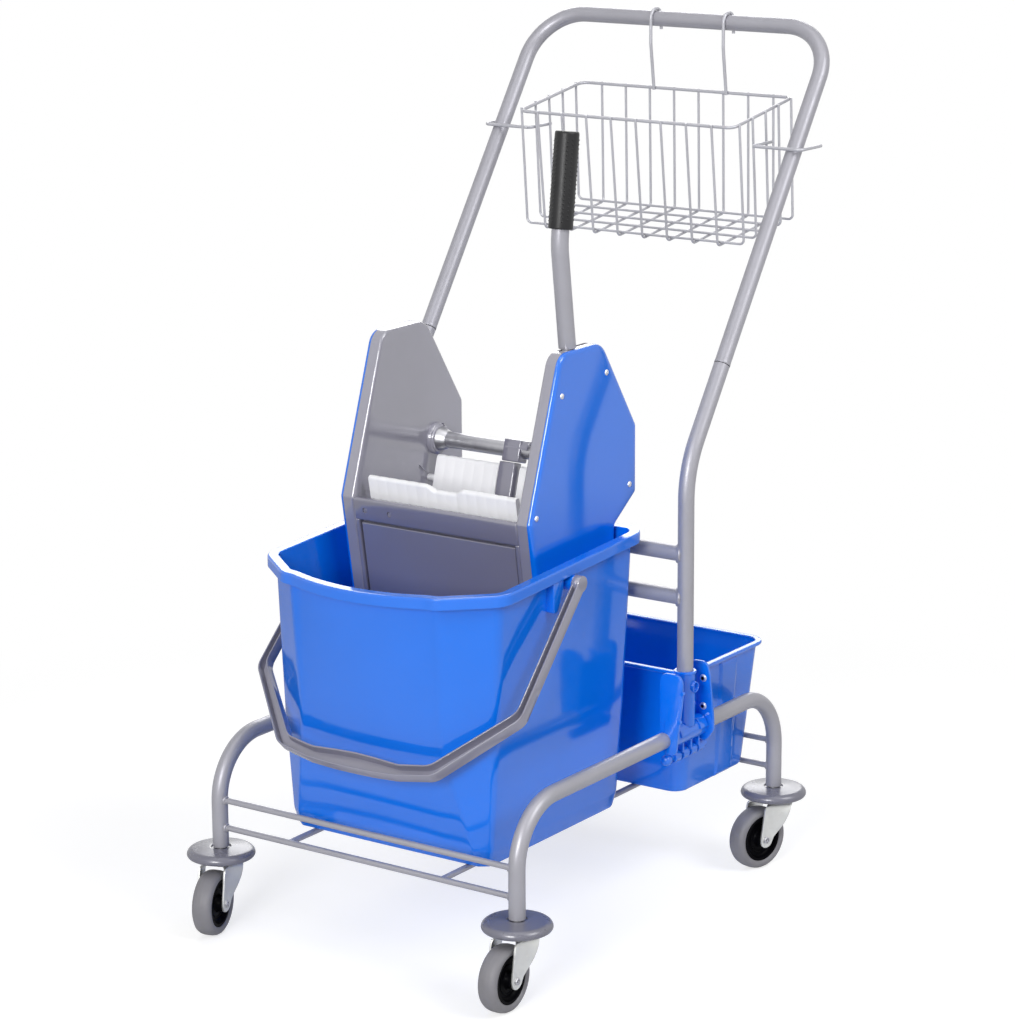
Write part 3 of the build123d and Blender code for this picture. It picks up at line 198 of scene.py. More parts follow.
# name, place, aim, size in metres, watts
LAMPS = [
    ("lamp_key", (1.2, -4.7, 2.1), (0, -0.1, 0.5), 1.6, 155),
    ("lamp_front_high", (-0.5, -5, 4.8), (0, -0.1, 0.5), 2.6, 40),
    ("lamp_right", (4.5, 0.2, 4.5), (0, 0, 0.5), 3, 170),
    ("lamp_above", (0.4, -0.6, 6.6), (0, 0, 0.4), 4.2, 64),
    ("lamp_back", (-3.4, 5.4, 3.4), (0, 0, 0.6), 3.6, 150),
]
for name, place, aim, size, power in LAMPS:
    bpy.ops.object.light_add(type="AREA", location=place)
    lamp = bpy.context.object
    lamp.name = name
    lamp.data.size = size
    lamp.data.energy = power
    lamp.rotation_euler = (Vector(place) - Vector(aim)).to_track_quat("Z", "Y").to_euler()

# %% [markdown]
# The world is dim where it lights the trolley, and white where the camera or a reflection sees it.

# %% World
WORLD_LIGHT, WORLD_TINT = 0.1, (0.97, 0.98, 1, 1)
world = bpy.data.worlds.new("white_room")
scene.world = world
sky = Tree(world)
dim = sky.node("Background", Color=WORLD_TINT, Strength=WORLD_LIGHT)
white = sky.node("Background", Color=WHITE, Strength=1)
seen = sky.math("MAXIMUM", sky.ray("Camera"), sky.ray("Glossy"))
backdrop = sky.node("MixShader", i0=seen, i1=dim, i2=white)
sky.join(backdrop, sky.nodes["World Output"].inputs["Surface"])
print("world nodes:", len(sky.nodes))

# %% [markdown]
# The floor is white paper near the trolley. A little glow, seen by the camera only, makes it read as
# background, and away from the trolley the camera and the reflections see plain white.

# %% Floor
FLOOR_SIZE = 40
bpy.ops.mesh.primitive_plane_add(size=FLOOR_SIZE)
floor = bpy.context.object
floor.name = "floor"
GLOW = 0.4
# near and far distance, in metres, of each change over the floor
PAPER_FADE, SWEEP_FADE, MIRROR_FADE = (0.8, 1.5), (0.6, 1.25), (1.5, 2.3)
SWEEP_BASE = 0.45
PAPER, PAPER_EDGE = (0.86, 0.86, 0.86, 1), (0.55, 0.55, 0.55, 1)
sheet = Finish("floor_white", Roughness=0.9, Specular_IOR_Level=0.1, Emission_Color=WHITE)
away = sheet.node("VectorMath", {"operation": "LENGTH"}, out="Value", i0=sheet.place)


def fade(near, far, base=0):
    """From a base value near the trolley to 1 far away."""
    return sheet.span(away, near, far, base, 1, "SMOOTHSTEP")


camera_ray, glossy_ray = sheet.ray("Camera"), sheet.ray("Glossy")
tone = sheet.between(fade(*PAPER_FADE), PAPER, PAPER_EDGE)
sheet.feed(Base_Color=tone, Emission_Strength=camera_ray * GLOW)
direct, mirrored = fade(*SWEEP_FADE, SWEEP_BASE) * camera_ray, fade(*MIRROR_FADE) * glossy_ray
share = sheet.math("MAXIMUM", direct, mirrored)
bright = sheet.node("Emission", Strength=1)
paper = Wire(sheet, sheet.shader.outputs[0])
sweep = sheet.node("MixShader", i0=share, i1=paper, i2=bright)
sheet.join(sweep, sheet.nodes["Material Output"].inputs["Surface"])
floor.data.materials.append(sheet.material)
print("floor", [round(v) for v in floor.dimensions[:2]], "m")

# %% [markdown]
# ## The finishes of this trolley
# A finish is a Principled shader whose colour, roughness and bump come from small patterns laid on
# Object coordinates, in metres, so that a speck of 0.5 mm is 0.5 mm on every piece. Frame and
# lever wear the same silver-grey paint: fine flakes under a slightly wavy coat. The blue mouldings are
# glossy, with a faint skin texture and hair-fine scuffs that only the highlights show. The grey ones
# have a thick glossy skin, so that the cheeks mirror the shaft between them; bail and front panel get
# darker copies of that grey, which paint in their shade. The jaws are white, the castor forks zinc
# plated, which leaves soft cloudy patches, and the grip is black and matt.

# %% Painted tube and wire
def shade(value, red, green, blue):
    """A colour scaled by a factor, with full alpha."""
    return (red * value, green * value, blue * value, 1)


FLAKE = 0.06


def silver_paint(name, tint, coat):
    """Silver paint over steel: flakes, an uneven coat and faint handling marks."""
    look = Finish(name, Metallic=0.25, Coat_Weight=coat, Coat_Roughness=0.34)
    low, high = 1 - FLAKE, 1 + FLAKE
    specks = look.span(look.noise(2600, 1), 0.35, 0.65, low, high)
    clouds = look.span(look.noise(26, 3), 0.3, 0.7, 0.97, 1.03)
    tone = look.span(specks * clouds, low, high)
    marks = look.noise(95, 4, 0.65, (1, 1, 0.35))
    look.feed(Base_Color=look.between(tone, shade(low, *tint), shade(high, *tint)),
              Roughness=look.span(marks, 0.35, 0.7, 0.34, 0.46))
    look.bump(look.noise(420), 3e-6)
    return look.material


LOOKS = {
    "frame_paint": silver_paint("silver_frame_paint", (0.36, 0.356, 0.395), 0.12),
    "basket_wire": silver_paint("silver_wire_coat", (0.48, 0.48, 0.52), 0.2),
}
print("paints:", len(LOOKS))


# %% Moulded plastics
CLOUD_LOW, CLOUD_HIGH = 0.95, 1.05


def moulded(name, tint, rough, grain, shine=0.5, scuff=0.04, skin=0):
    """Moulded plastic: faint clouds in the colour, a grain on the skin and fine scuffs."""
    look = Finish(name, Specular_IOR_Level=shine, Coat_Weight=skin, Coat_IOR=1.9,
                  Coat_Roughness=0.12)
    tone = look.between(look.noise(9, 3), shade(CLOUD_LOW, *tint), shade(CLOUD_HIGH, *tint))
    hairs = look.span(look.noise(60, 6, 0.7, (1, 1, 3.5)), 0.52, 0.7, 0, scuff)
    gloss = look.span(look.noise(14), 0.3, 0.7, rough - 0.02, rough + 0.03)
    look.feed(Base_Color=tone, Roughness=hairs + gloss)
    look.bump(look.noise(1100), grain)
    return look.material


SATIN = 1e-5
LOOKS |= {
    "blue_plastic": moulded("blue_gloss_moulding", (0.002, 0.165, 0.8), 0.1, 4e-6, 0.85, 0.012),
    "grey_plastic": moulded("blue_grey_moulding", (0.285, 0.28, 0.338), 0.15, SATIN, 0.7, skin=0.65),
    "white_plastic": moulded("white_moulding", (0.91, 0.91, 0.93), 0.42, 1.5e-5),
    "bumper_plastic": moulded("bumper_moulding", (0.15, 0.149, 0.188), 0.27, SATIN, 0.8),
    "hub_plastic": moulded("black_hub_moulding", (0.002, 0.002, 0.003), 0.34, 4e-5, 0.03),
}
# darker copies of the cheeks' grey, as painted shade: bail and panel pins wear one, front panel and
# press arm the other
bail_grey_painted_shade = moulded("grey_moulding_painted_shade_mid", (0.22, 0.216, 0.28), 0.15, SATIN, 0.8, skin=0.5)
panel_grey_painted_shade = moulded("grey_moulding_painted_shade_dark", (0.2, 0.196, 0.256), 0.15, SATIN, 0.8, skin=0.6)
print("with plastics:", len(LOOKS))


# %% Plated metal, tyre and grip
def plated(name, tint, rough, patches):
    """Plated steel: cloudy spangle in colour and gloss."""
    look = Finish(name, Metallic=1)
    spangle = look.node("TexVoronoi", out="Color", Vector=look.place, Scale=180)
    spread = look.node("SeparateColor", Color=spangle)
    clouds = look.noise(45, 4, 0.6) * 0.6 + spread * 0.4
    look.feed(Base_Color=look.between(clouds, shade(1 - patches, *tint), shade(1, *tint)),
              Roughness=look.span(clouds, 0.25, 0.75, rough - 0.06, rough + 0.08))
    look.bump(look.noise(700, 3), 4e-5)
    return look.material


def rubbery(name, tint, rough, grain, dust, shine=0.5):
    """Matt rubber with a fine grain and a little dust in it."""
    look = Finish(name, Specular_IOR_Level=shine)
    specks = look.noise(900, 3, 0.6)
    smears = look.span(look.noise(35, 4, 0.6), 0.4, 0.75)
    dusty = tuple(v + dust for v in tint)
    look.feed(Base_Color=look.between(smears, shade(1, *tint), shade(1, *dusty)),
              Roughness=look.span(specks, 0.3, 0.7, rough - 0.06, rough + 0.06))
    look.bump(specks, grain)
    return look.material


shaft_plate = plated("shaft_plate", (0.53, 0.53, 0.555), 0.38, 0.1)
LOOKS |= {
    "zinc": plated("zinc_plate", (0.74, 0.745, 0.73), 0.46, 0.16),
    "screw_steel": plated("bright_screw_plate", (0.78, 0.78, 0.8), 0.42, 0.06),
    "tyre": rubbery("grey_tyre_rubber", (0.186, 0.182, 0.198), 0.52, 1e-4, 0.03),
    "grip_rubber": rubbery("black_grip_rubber", (0.008, 0.008, 0.009), 0.42, 6e-5, 0.006, 0.34),
}
for row in frame["record"]["subparts"]:
    coats = nodes[row["node"]].data.materials
    coats.clear()
    coats.append(shaft_plate if row["node"] == "shaft" else LOOKS[row["material_slot"]])
print("finishes:", len(LOOKS))

# %% [markdown]
# ## Hand tools
# A few moves come back for every piece: take one object alone, close its mesh, join meshes, and settle
# the finished piece on its body. They are written once here, and others where they are first needed.
# All drawings below are in millimetres and become metres when a mesh is laid out.

# %% Taking and closing
MM = 0.001
MERGE = 1e-6


def take(piece):
    """Object mode, with this object alone selected and active."""
    if bpy.context.mode != "OBJECT":
        bpy.ops.object.mode_set(mode="OBJECT")
    bpy.ops.object.select_all(action="DESELECT")
    piece.select_set(True)
    bpy.context.view_layer.objects.active = piece
    return piece


def open_all(piece):
    """Edit mode, with the whole mesh selected."""
    take(piece)
    bpy.ops.object.mode_set(mode="EDIT")
    bpy.ops.mesh.select_mode(type="VERT")
    bpy.ops.mesh.select_all(action="SELECT")


def close_up(piece, fill=True):
    """Merge doubles, fill open ends and turn the faces outwards."""
    open_all(piece)
    bpy.ops.mesh.remove_doubles(threshold=MERGE)
    if fill:
        bpy.ops.mesh.fill_holes(sides=0)
    bpy.ops.mesh.select_all(action="SELECT")
    bpy.ops.mesh.normals_make_consistent(inside=False)
    bpy.ops.object.mode_set(mode="OBJECT")
    return piece


print("drawings are in units of", MM, "m")


# %% Joining and settling
def join(first, *others):
    """Several meshes as one object."""
    take(first)
    for other in others:
        other.select_set(True)
    bpy.ops.object.join()
    return first


def settle(piece, name, body, slot, *replaced, smooth=38, look=None):
    """Name a finished piece, give it its finish and put it on its body for the nodes it replaces."""
    take(piece)
    piece.name = name
    piece.data.name = name
    bpy.ops.object.shade_smooth_by_angle(angle=radians(smooth))
    piece.data.materials.clear()
    piece.data.materials.append(look or LOOKS[slot])
    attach(piece, body)
    if replaced:
        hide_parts(*replaced)
    print(name, len(piece.data.polygons), "faces")


print("each piece prints its name and its faces")

# %% [markdown]
# ## Welds on the tube frame
# Tubes and rods keep their solids, which are exact. What they lack are the welds: a low, slightly
# rippled bead where each rod or bar meets a tube. A torus is added at its place and its ring of
# points is pushed in and out a little, as a welder's small steps leave it.

# %% Weld beads
LEG_X, LEG_FRONT_Y, LEG_BACK_Y = 210, -308.25, 238.75
UPRIGHT_Y = 33.85
TUBE = 9.5
# places and radius of the crossing pieces, then thickness of the bead and how far it wraps the tube
RODS = [(y, z, 3.5, 1.5, 0.8) for y in (LEG_FRONT_Y, LEG_BACK_Y) for z in (122.3, 155.5)]
BARS = [(UPRIGHT_Y, z, 9, 2.2, 1) for z in (382.8, 434.6)]
BEAD_ROOM, BEAD_SINK, WRAP_LIMIT = 0.3, 0.4, 6
# size, number round the bead, shift
RIPPLES = [(0.1, 9, 0), (0.05, 17, 1)]
beads = []
for y, z, radius, thick, wrap in RODS + BARS:
    for side in (-1, 1):
        bpy.ops.mesh.primitive_torus_add(
            major_segments=48, minor_segments=10, major_radius=(radius + BEAD_ROOM) * MM,
            minor_radius=thick * MM, rotation=(0, pi / 2, 0))
        bead = bpy.context.object
        bpy.ops.object.transform_apply(location=False, rotation=True, scale=False)
        for vertex in bead.data.vertices:
            turn = atan2(vertex.co.z, vertex.co.y)
            saddle = TUBE - sqrt(max(TUBE ** 2 - (vertex.co.y / MM) ** 2, 0))
            ripple = 1 + sum(high * sin(count * turn + shift) for high, count, shift in RIPPLES)
            vertex.co.x = vertex.co.x * ripple + side * min(saddle, WRAP_LIMIT) * MM * wrap
            vertex.co += Vector((side * (LEG_X - TUBE - BEAD_SINK), y, z)) * MM
        beads.append(bead)
settle(close_up(join(*beads), False), "frame_welds", "frame", "frame_paint")

# %% [markdown]
# ## Where the handle leaves its sockets
# The bent push handle slides into the top of each upright. The joint shows as a dark line round the
# tube, painted shade: a thin black ring in place of the gap, with a slightly fuller lip above it. Both
# are short spun rings on the tube's own axis.

# %% Spun rings of the handle joints
def turned(profile, origin, axis, steps=40):
    """A closed profile of (radius, height) spun round an axis through origin."""
    bpy.ops.mesh.primitive_circle_add(vertices=len(profile))
    piece = bpy.context.object
    axis = Vector(axis).normalized()
    across = axis.orthogonal().normalized()
    for vertex, (radius, height) in zip(piece.data.vertices, profile):
        vertex.co = (Vector(origin) + across * radius + axis * height) * MM
    open_all(piece)
    bpy.ops.mesh.spin(steps=steps, angle=2 * pi, center=Vector(origin) * MM, axis=axis)
    bpy.ops.mesh.select_all(action="SELECT")
    bpy.ops.mesh.remove_doubles(threshold=MERGE)
    bpy.ops.mesh.delete_loose()
    return close_up(piece, False)


def both_ends(half):
    """The upper half of a profile, closed by its mirror image below."""
    return half + [(radius, -height) for radius, height in reversed(half)]


JOINT_Y, JOINT_Z = 109.15, 644.05
JOINT_ALONG = (0, 0.5678, 0.8231)
# black ring where the joint's gap is: painted shade
JOINT_SHADE_RING = both_ends([(9.2, 0.35), (9.58, 0.35)])
JOINT_LIP = [(9.2, 0.35), (9.62, 0.45), (9.74, 0.9), (9.72, 2.6), (9.56, 3.6), (9.2, 3.8)]
for profile, name, slot in ((JOINT_SHADE_RING, "handle_joint_gap_shade", "hub_plastic"),
                            (JOINT_LIP, "handle_joint_lips", "frame_paint")):
    rings = [turned(profile, (side * LEG_X, JOINT_Y, JOINT_Z), JOINT_ALONG, 48) for side in (-1, 1)]
    settle(join(*rings), name, "frame", slot)

# %% [markdown]
# ## The castors
# Each corner has a zinc fork pressed from one sheet, a black hub with a grey tyre, and a grey bumper
# disc above it. The fork is the interesting one: a strip runs up one leg, bends over the round crown
# and runs down the other, so one net is laid along that way and thickened with Solidify. All four
# are the same, drawn once in the castor's own frame and turned to the angle that corner rests at.

# %% Places of the four castors
TRAIL, WHEEL_Z = 27, 38
CASTOR_TURN = {"front_right": 1.5, "front_left": 16, "rear_right": -16, "rear_left": 6}


def castor_place(corner):
    """Function that brings a place in the castor's frame to its corner of the trolley."""
    turn = radians(CASTOR_TURN[corner])
    x = LEG_X if corner.endswith("right") else -LEG_X
    y = LEG_FRONT_Y if corner.startswith("front") else LEG_BACK_Y
    return lambda a, b, c: (x + a * cos(turn) - b * sin(turn), y + a * sin(turn) + b * cos(turn), c)


print("front right castor turns at", castor_place("front_right")(0, 0, 0))


# %% Nets and modifiers
def net(rows):
    """A grid primitive whose vertices are laid on rows of points."""
    bpy.ops.mesh.primitive_grid_add(x_subdivisions=len(rows[0]) - 1, y_subdivisions=len(rows) - 1)
    piece = bpy.context.object
    for vertex, place in zip(piece.data.vertices, [place for row in rows for place in row]):
        vertex.co = Vector(place) * MM
    return piece


def modify(piece, kind, **settings):
    """Add a modifier with these settings and apply it."""
    take(piece)
    made = piece.modifiers.new(kind.lower(), kind)
    for name, value in settings.items():
        setattr(made, name, value)
    bpy.ops.object.modifier_apply(modifier=made.name)
    return piece


def soften(piece, width, segments=3, angle=30):
    """Round every edge sharper than the angle."""
    return modify(piece, "BEVEL", width=width * MM, segments=segments, limit_method="ANGLE",
                  angle_limit=radians(angle))


print("net, modify and soften are ready")

# %% Strip of the fork
# height, front edge and back edge of a leg, and how far its back bulges out to the round top
LEG_ROWS = [
    (28.2, -26.9, -26.5, 0), (28.9, -30.2, -22.9, 0.2), (30.6, -32.8, -20.3, 0.5),
    (33.2, -34.4, -18.6, 0.9), (37, -35, -17.4, 1.4), (41, -34.8, -15.4, 1.9),
    (46, -34.2, -10, 2.7), (52, -33.2, -4.4, 4.3), (58, -32, -0.4, 6),
    (64, -30.9, 2.6, 7.4), (70, -29.8, 5.2, 8), (75, -28.8, 7.8, 7.6),
    (77.4, -27.8, 9.6, 6.6),
]
# across the crown: height, front edge, back edge, bulge of the leg's top, share of the half width
CROWN_BULGE = LEG_ROWS[-1][3]
CROWN_ROWS = [(z, front, back, CROWN_BULGE, share) for z, front, back, share in (
    (79.1, -26.4, 12, 0.95), (79.8, -23, 15.5, 0.84), (79.9, -18, 19.5, 0.62),
    (79.9, -14.8, 23, 0.35), (79.9, -13.8, 24.5, 0))]
LEG_AT, SHEET = 15.8, 2.2
FORK_COLUMNS = 12


def fork_row(z, front, back, bulge, share=1):
    """Across the strip, from its front edge to its back edge."""
    steps = [step / FORK_COLUMNS for step in range(FORK_COLUMNS + 1)]
    return [(share * (LEG_AT + bulge * at ** 2), front + (back - front) * at, z) for at in steps]


def fork_strip(place):
    """The fork as one sheet of steel."""
    half = [fork_row(*row) for row in LEG_ROWS + CROWN_ROWS]
    rows = half + [[(-x, y, z) for x, y, z in row] for row in reversed(half[:-1])]
    strip = close_up(net([[place(*point) for point in row] for row in rows]), False)
    modify(strip, "SOLIDIFY", thickness=SHEET * MM, offset=0)
    return soften(strip, 0.5, 2, 50)


print("rows of the strip:", 2 * len(LEG_ROWS + CROWN_ROWS) - 1)


# %% Profiles of tyre, hub, axle and bumper
TYRE = [(38, 0)] + both_ends([
    (37.92, 0.5), (37.9, 4), (37.2, 7.6), (35.7, 10.2), (33.6, 11.6), (31.5, 11.9), (29.2, 11.2),
    (27.9, 10)])
HUB = both_ends([
    (4.1, 14), (8.6, 14), (9.4, 13.2), (9.8, 8), (11.2, 6.4), (15.4, 5.8), (15.8, 6.5),
    (16.6, 6.5), (17, 5.6), (21.4, 5), (23.2, 6.4), (24, 9.2), (24.6, 10.2), (27, 10.4),
    (28, 9.6)])
AXLE = both_ends([(0, 17), (4, 17)])
NUT = [(0, 0), (4.6, 0), (4.6, 1.8), (4, 2.3), (3.1, 2.3), (2.7, 1), (1.6, 1), (1.3, 2.5),
       (0, 2.5)]
NUT_AT = 16.95
BUMPER = [
    (6, 85.8), (34.6, 85.6), (36.8, 85.9), (38.6, 86.9), (39.6, 88.3), (39.95, 89.8), (39.7, 91.4),
    (38.9, 93.2), (37.7, 94.6), (36.2, 95.7), (34.4, 96.4), (33, 96.7), (14, 98), (12.6, 98.2),
    (11.7, 98), (11.2, 97.3), (11, 96.6), (6, 96.6)]
print("tyre", 2 * max(TYRE)[0], "mm, bumper", 2 * max(BUMPER)[0], "mm across")

# %% Four castors
for corner in CASTOR_TURN:
    place = castor_place(corner)
    middle = Vector(place(0, -TRAIL, WHEEL_Z))
    axis = Vector(place(1, -TRAIL, WHEEL_Z)) - middle
    fork, wheel = f"castor_{corner}", f"wheel_{corner}"
    settle(fork_strip(place), f"fork_sheet_{corner}", fork, "zinc", f"fork_{corner}")
    nuts = [turned(NUT, middle + axis * side * NUT_AT, axis * side, 6) for side in (-1, 1)]
    bolt = join(turned(AXLE, middle, axis, 24), *nuts)
    settle(bolt, f"axle_bolt_{corner}", fork, "screw_steel", f"axle_{corner}", look=shaft_plate)
    disc = turned(HUB, middle, axis, 48)
    settle(disc, f"hub_disc_{corner}", wheel, "hub_plastic", f"hub_{corner}")
    ring = turned(TYRE, middle, axis, 72)
    settle(ring, f"tyre_ring_{corner}", wheel, "tyre", f"tyre_{corner}")
    plate = turned(BUMPER, place(0, 0, 0), (0, 0, 1), 64)
    settle(plate, f"bumper_disc_{corner}", "frame", "bumper_plastic", f"bumper_{corner}")

# %% [markdown]
# ## The clamps
# A blue moulding holds each upright on its side rail. It has an end plate in front and one behind,
# a socket for the upright between them, a saddle over the rail with two pads, and hinge knuckles on a
# pin underneath. The plates are rounded outlines with a thickness; the rest is spun or blocked out
# and joined, because it is one moulding. The left clamp is its mirror image. Blocks, cuts, mirror
# images and rounded outlines are new here, so their helpers come first.

# %% Skins, blocks, cuts and mirror images
def skin(rings):
    """Closed rings of points, one after another, as one skin with filled ends."""
    return close_up(net([ring + ring[:1] for ring in rings]))


def block(low, high, width=0, place=None):
    """A cube brought between two corners, its edges rounded, and moved by a place function."""
    bpy.ops.mesh.primitive_cube_add(size=1)
    piece = bpy.context.object
    for vertex in piece.data.vertices:
        corner = [high[i] if vertex.co[i] > 0 else low[i] for i in range(3)]
        vertex.co = Vector(place(*corner) if place else corner) * MM
    if width:
        soften(piece, width)
    return close_up(piece, False)


def cut(piece, *cutters):
    """Take cutters out of a piece, and remove them."""
    for cutter in cutters:
        modify(piece, "BOOLEAN", operation="DIFFERENCE", object=cutter)
        bpy.data.objects.remove(cutter)
    return piece


def twin(piece):
    """A copy with its own mesh, mirrored to the other side."""
    take(piece)
    bpy.ops.object.duplicate()
    other = bpy.context.object
    for vertex in other.data.vertices:
        vertex.co.x = -vertex.co.x
    open_all(other)
    bpy.ops.mesh.flip_normals()
    bpy.ops.object.mode_set(mode="OBJECT")
    return other


def settle_twins(right, name, body, slot, replaced, smooth=38):
    """Settle a piece of the right side, and its mirror image on the left."""
    for piece, side in ((twin(right), "left"), (right, "right")):
        settle(piece, f"{name}_{side}", body, slot, f"{replaced}_{side}", smooth=smooth)


print("blocks, cuts and mirror images are ready")


# %% Outlines moved outwards
def moved_out(corners, amount):
    """Outline, counter-clockwise, with each side moved outwards."""
    result = []
    for before, here, after in zip(corners[-1:] + corners[:-1], corners, corners[1:] + corners[:1]):
        one = (Vector(here) - Vector(before)).normalized()
        two = (Vector(after) - Vector(here)).normalized()
        out_one, out_two = Vector((one.y, -one.x)), Vector((two.y, -two.x))
        corner = (out_one + out_two) / (1 + out_one.dot(out_two))
        result.append(tuple(Vector(here) + corner * amount))
    return result


square = [(0, 0), (9, 0), (9, 9), (0, 9)]
print("a square moved out:", moved_out(square, 1))

# %% Outlines with rounded corners
# the most that an arc takes up of a side
SIDE_SHARE = 0.49


def arc_at(here, before, after, size, steps):
    """The points of an arc in place of a corner, as far as its two sides leave room."""
    half = before.angle(after) / 2
    reach = min(size / tan(half), SIDE_SHARE * min(before.length, after.length))
    size = reach * tan(half)
    middle = here + (before.normalized() + after.normalized()).normalized() * size / sin(half)
    start = here + before.normalized() * reach - middle
    end = here + after.normalized() * reach - middle
    sweep = start.angle(end)
    points = []
    for step in range(steps + 1):
        share = step / steps
        spoke = start * sin((1 - share) * sweep) + end * sin(share * sweep)
        points.append(middle + spoke / sin(sweep))
    return points


def rounded(corners, radii, arc=6, runs=None, closed=True):
    """Corner points with arcs in their place; runs gives the steps along each straight side."""
    total = len(corners)
    places = [Vector(corner) for corner in corners]
    bends = []
    for i, here in enumerate(places):
        if not closed and i in (0, total - 1):
            bends.append([here])
        else:
            before, after = places[i - 1] - here, places[(i + 1) % total] - here
            bends.append(arc_at(here, before, after, radii[i], arc))
    line = []
    for i, bend in enumerate(bends):
        line += bend
        if closed or i < total - 1:
            steps = runs[i] if runs else 1
            ahead = bends[(i + 1) % total][0]
            line += [bend[-1].lerp(ahead, step / steps) for step in range(1, steps)]
    return [tuple(point) for point in line]


print("points of a square with round corners:", len(rounded(square, [2] * 4)))

# %% End plates
RAIL_Z = 222.5
FRONT_PLATE = [(0, -16), (16.5, -16), (18.5, 3), (25, 53), (25, 81.5), (-5.5, 81.5),
               (-5.5, 7)]
FRONT_BENDS = [6, 6, 20, 30, 11, 10, 12]
REAR_PLATE = [(-11, 4), (-6, -17), (12, -17), (21, -4), (20.6, 9), (15.5, 62),
              (11, 78), (-11, 78)]
REAR_BENDS = [10, 6, 7, 7, 20, 20, 9, 8]
FRONT_Y, REAR_Y = -46, 29
PLATE_DEPTH, PLATE_EDGE = 4, 0.9
PLATE_STUD = [(0, -1), (2.2, -1), (2.2, 3.4), (1.4, 4.2), (0, 4.2)]
PLATE_STUDS = [(20.76, 25), (24.4, 60)]


def clamp_at(x, y, z):
    """A place from the crossing of the right rail and upright."""
    return (LEG_X + x, UPRIGHT_Y + y, RAIL_Z + z)


def clamp_block(low, high, width=0):
    """A block between two corners that are measured from that crossing."""
    return block(clamp_at(*low), clamp_at(*high), width)


def end_plate(outline, bends, y):
    """An outline seen from the front, given a depth, with its two rims rounded."""
    rim = [(0, -PLATE_EDGE), (PLATE_EDGE * 0.3, -PLATE_EDGE * 0.3), (PLATE_EDGE, 0)]
    rings = []
    for back, grow in rim + [(PLATE_DEPTH - back, grow) for back, grow in reversed(rim)]:
        line = rounded(moved_out(outline, grow), [bend + grow for bend in bends])
        rings.append([clamp_at(x, y + back, z) for x, z in line])
    return skin(rings)


clamp = end_plate(FRONT_PLATE, FRONT_BENDS, FRONT_Y)
join(clamp, end_plate(REAR_PLATE, REAR_BENDS, REAR_Y))
cut(clamp, clamp_block((0.6, FRONT_Y - 1, 8), (1.4, FRONT_Y + 0.6, 24)))
for x, z in PLATE_STUDS:
    join(clamp, turned(PLATE_STUD, clamp_at(x, FRONT_Y + 0.4, z), (0, 1, 0), 20))
print("end plates:", len(clamp.data.polygons), "faces")

# %% Socket, saddle and pads
SOCKET = [(9.6, 8), (12.05, 8), (12.05, 70), (12.5, 70.8), (13.2, 71.2), (13.5, 72),
          (13.3, 73.4), (12.4, 74), (10.6, 74), (9.6, 73.4)]
join(clamp, turned(SOCKET, clamp_at(0, 0, 0), (0, 0, 1), 48))
SADDLE = [(9.6, FRONT_Y + 2), (12.6, FRONT_Y + 2), (12.6, 30), (9.6, 30)]
join(clamp, turned(SADDLE, clamp_at(0, 0, 0), (0, 1, 0), 48))
PAD = both_ends([(12, 7.6), (14, 7.6), (14.7, 6.8)])
for y in (-20.5, 20.5):
    pad = turned(PAD, clamp_at(0, y, 0), (0, 1, 0), 48)
    inner_side = clamp_block((-30, y - 12, -30), (1, y + 12, 30))
    underside = clamp_block((-30, y - 12, -30), (30, y + 12, 1))
    join(clamp, cut(pad, inner_side, underside))
join(clamp, clamp_block((-7, -12, 8), (-3, 30, 64), 0.8))
join(clamp, clamp_block((-3, FRONT_Y + 2, 8), (1, -8, 68), 0.8))
RING = [(5.2, -4), (6.6, -4), (6.6, 3.2), (6.2, 3.8), (5.6, 3.8), (5.2, 3.2)]
join(clamp, turned(RING, clamp_at(10.6, 1, 55), (1, 0, 0), 32))
print("with socket and saddle:", len(clamp.data.polygons), "faces")

# %% Knuckles of the hinge
KNUCKLE = both_ends([(4.7, 6), (6.2, 6), (6.8, 5.2)])
HINGE_Z = -25.5
for y in (-22, -5, 12, 28):
    join(clamp, turned(KNUCKLE, clamp_at(0, y, HINGE_Z), (0, 1, 0), 32))
for y in (-14, 3.5, 20):
    join(clamp, clamp_block((-3, y - 1.5, HINGE_Z + 4), (7.4, y + 1.5, -9), 0.6))
settle_twins(clamp, "clamp_body", "frame", "blue_plastic", "clamp", smooth=34)

# %% Hinge pins and socket screws
PIN_SHAPE = [(0, 0), (4.4, 0), (4.4, 74), (5, 76), (6, 78), (6.5, 81), (6.2, 84),
             (4.8, 86.4), (2.6, 87.4), (0, 87.6)]
pin = turned(PIN_SHAPE, clamp_at(0, 42, HINGE_Z), (0, -1, 0), 32)
settle_twins(pin, "hinge_pin", "frame", "blue_plastic", "clamp_pin")

SCREW = [(0, 0), (4.5, 0), (4.5, 0.7), (4.2, 1), (3.7, 1), (3.7, 1.7), (3.4, 2.1), (2.6, 2.2),
         (0, 2.2)]
HEX_HOLE = [(0, 0.8), (2.4, 0.8), (2.4, 4.5), (0, 4.5)]
# black discs at the bottom of the hex holes: painted shade in the holes
HOLE_SHADE_DISC = [(0, 0.6), (2.5, 0.6), (2.5, 1.7), (0, 1.7)]
heads, hole_shade_discs = [], []
for z in (24, 58):
    spot = clamp_at(7, REAR_Y, z)
    heads.append(cut(turned(SCREW, spot, (0, -1, 0), 32), turned(HEX_HOLE, spot, (0, -1, 0), 6)))
    hole_shade_discs.append(turned(HOLE_SHADE_DISC, spot, (0, -1, 0), 6))
heads += [twin(head) for head in heads]
hole_shade_discs += [twin(piece) for piece in hole_shade_discs]
settle(join(*heads), "clamp_screw_heads", "frame", "screw_steel", "clamp_screws")
settle(join(*hole_shade_discs), "clamp_screw_hole_shade", "frame", "hub_plastic")

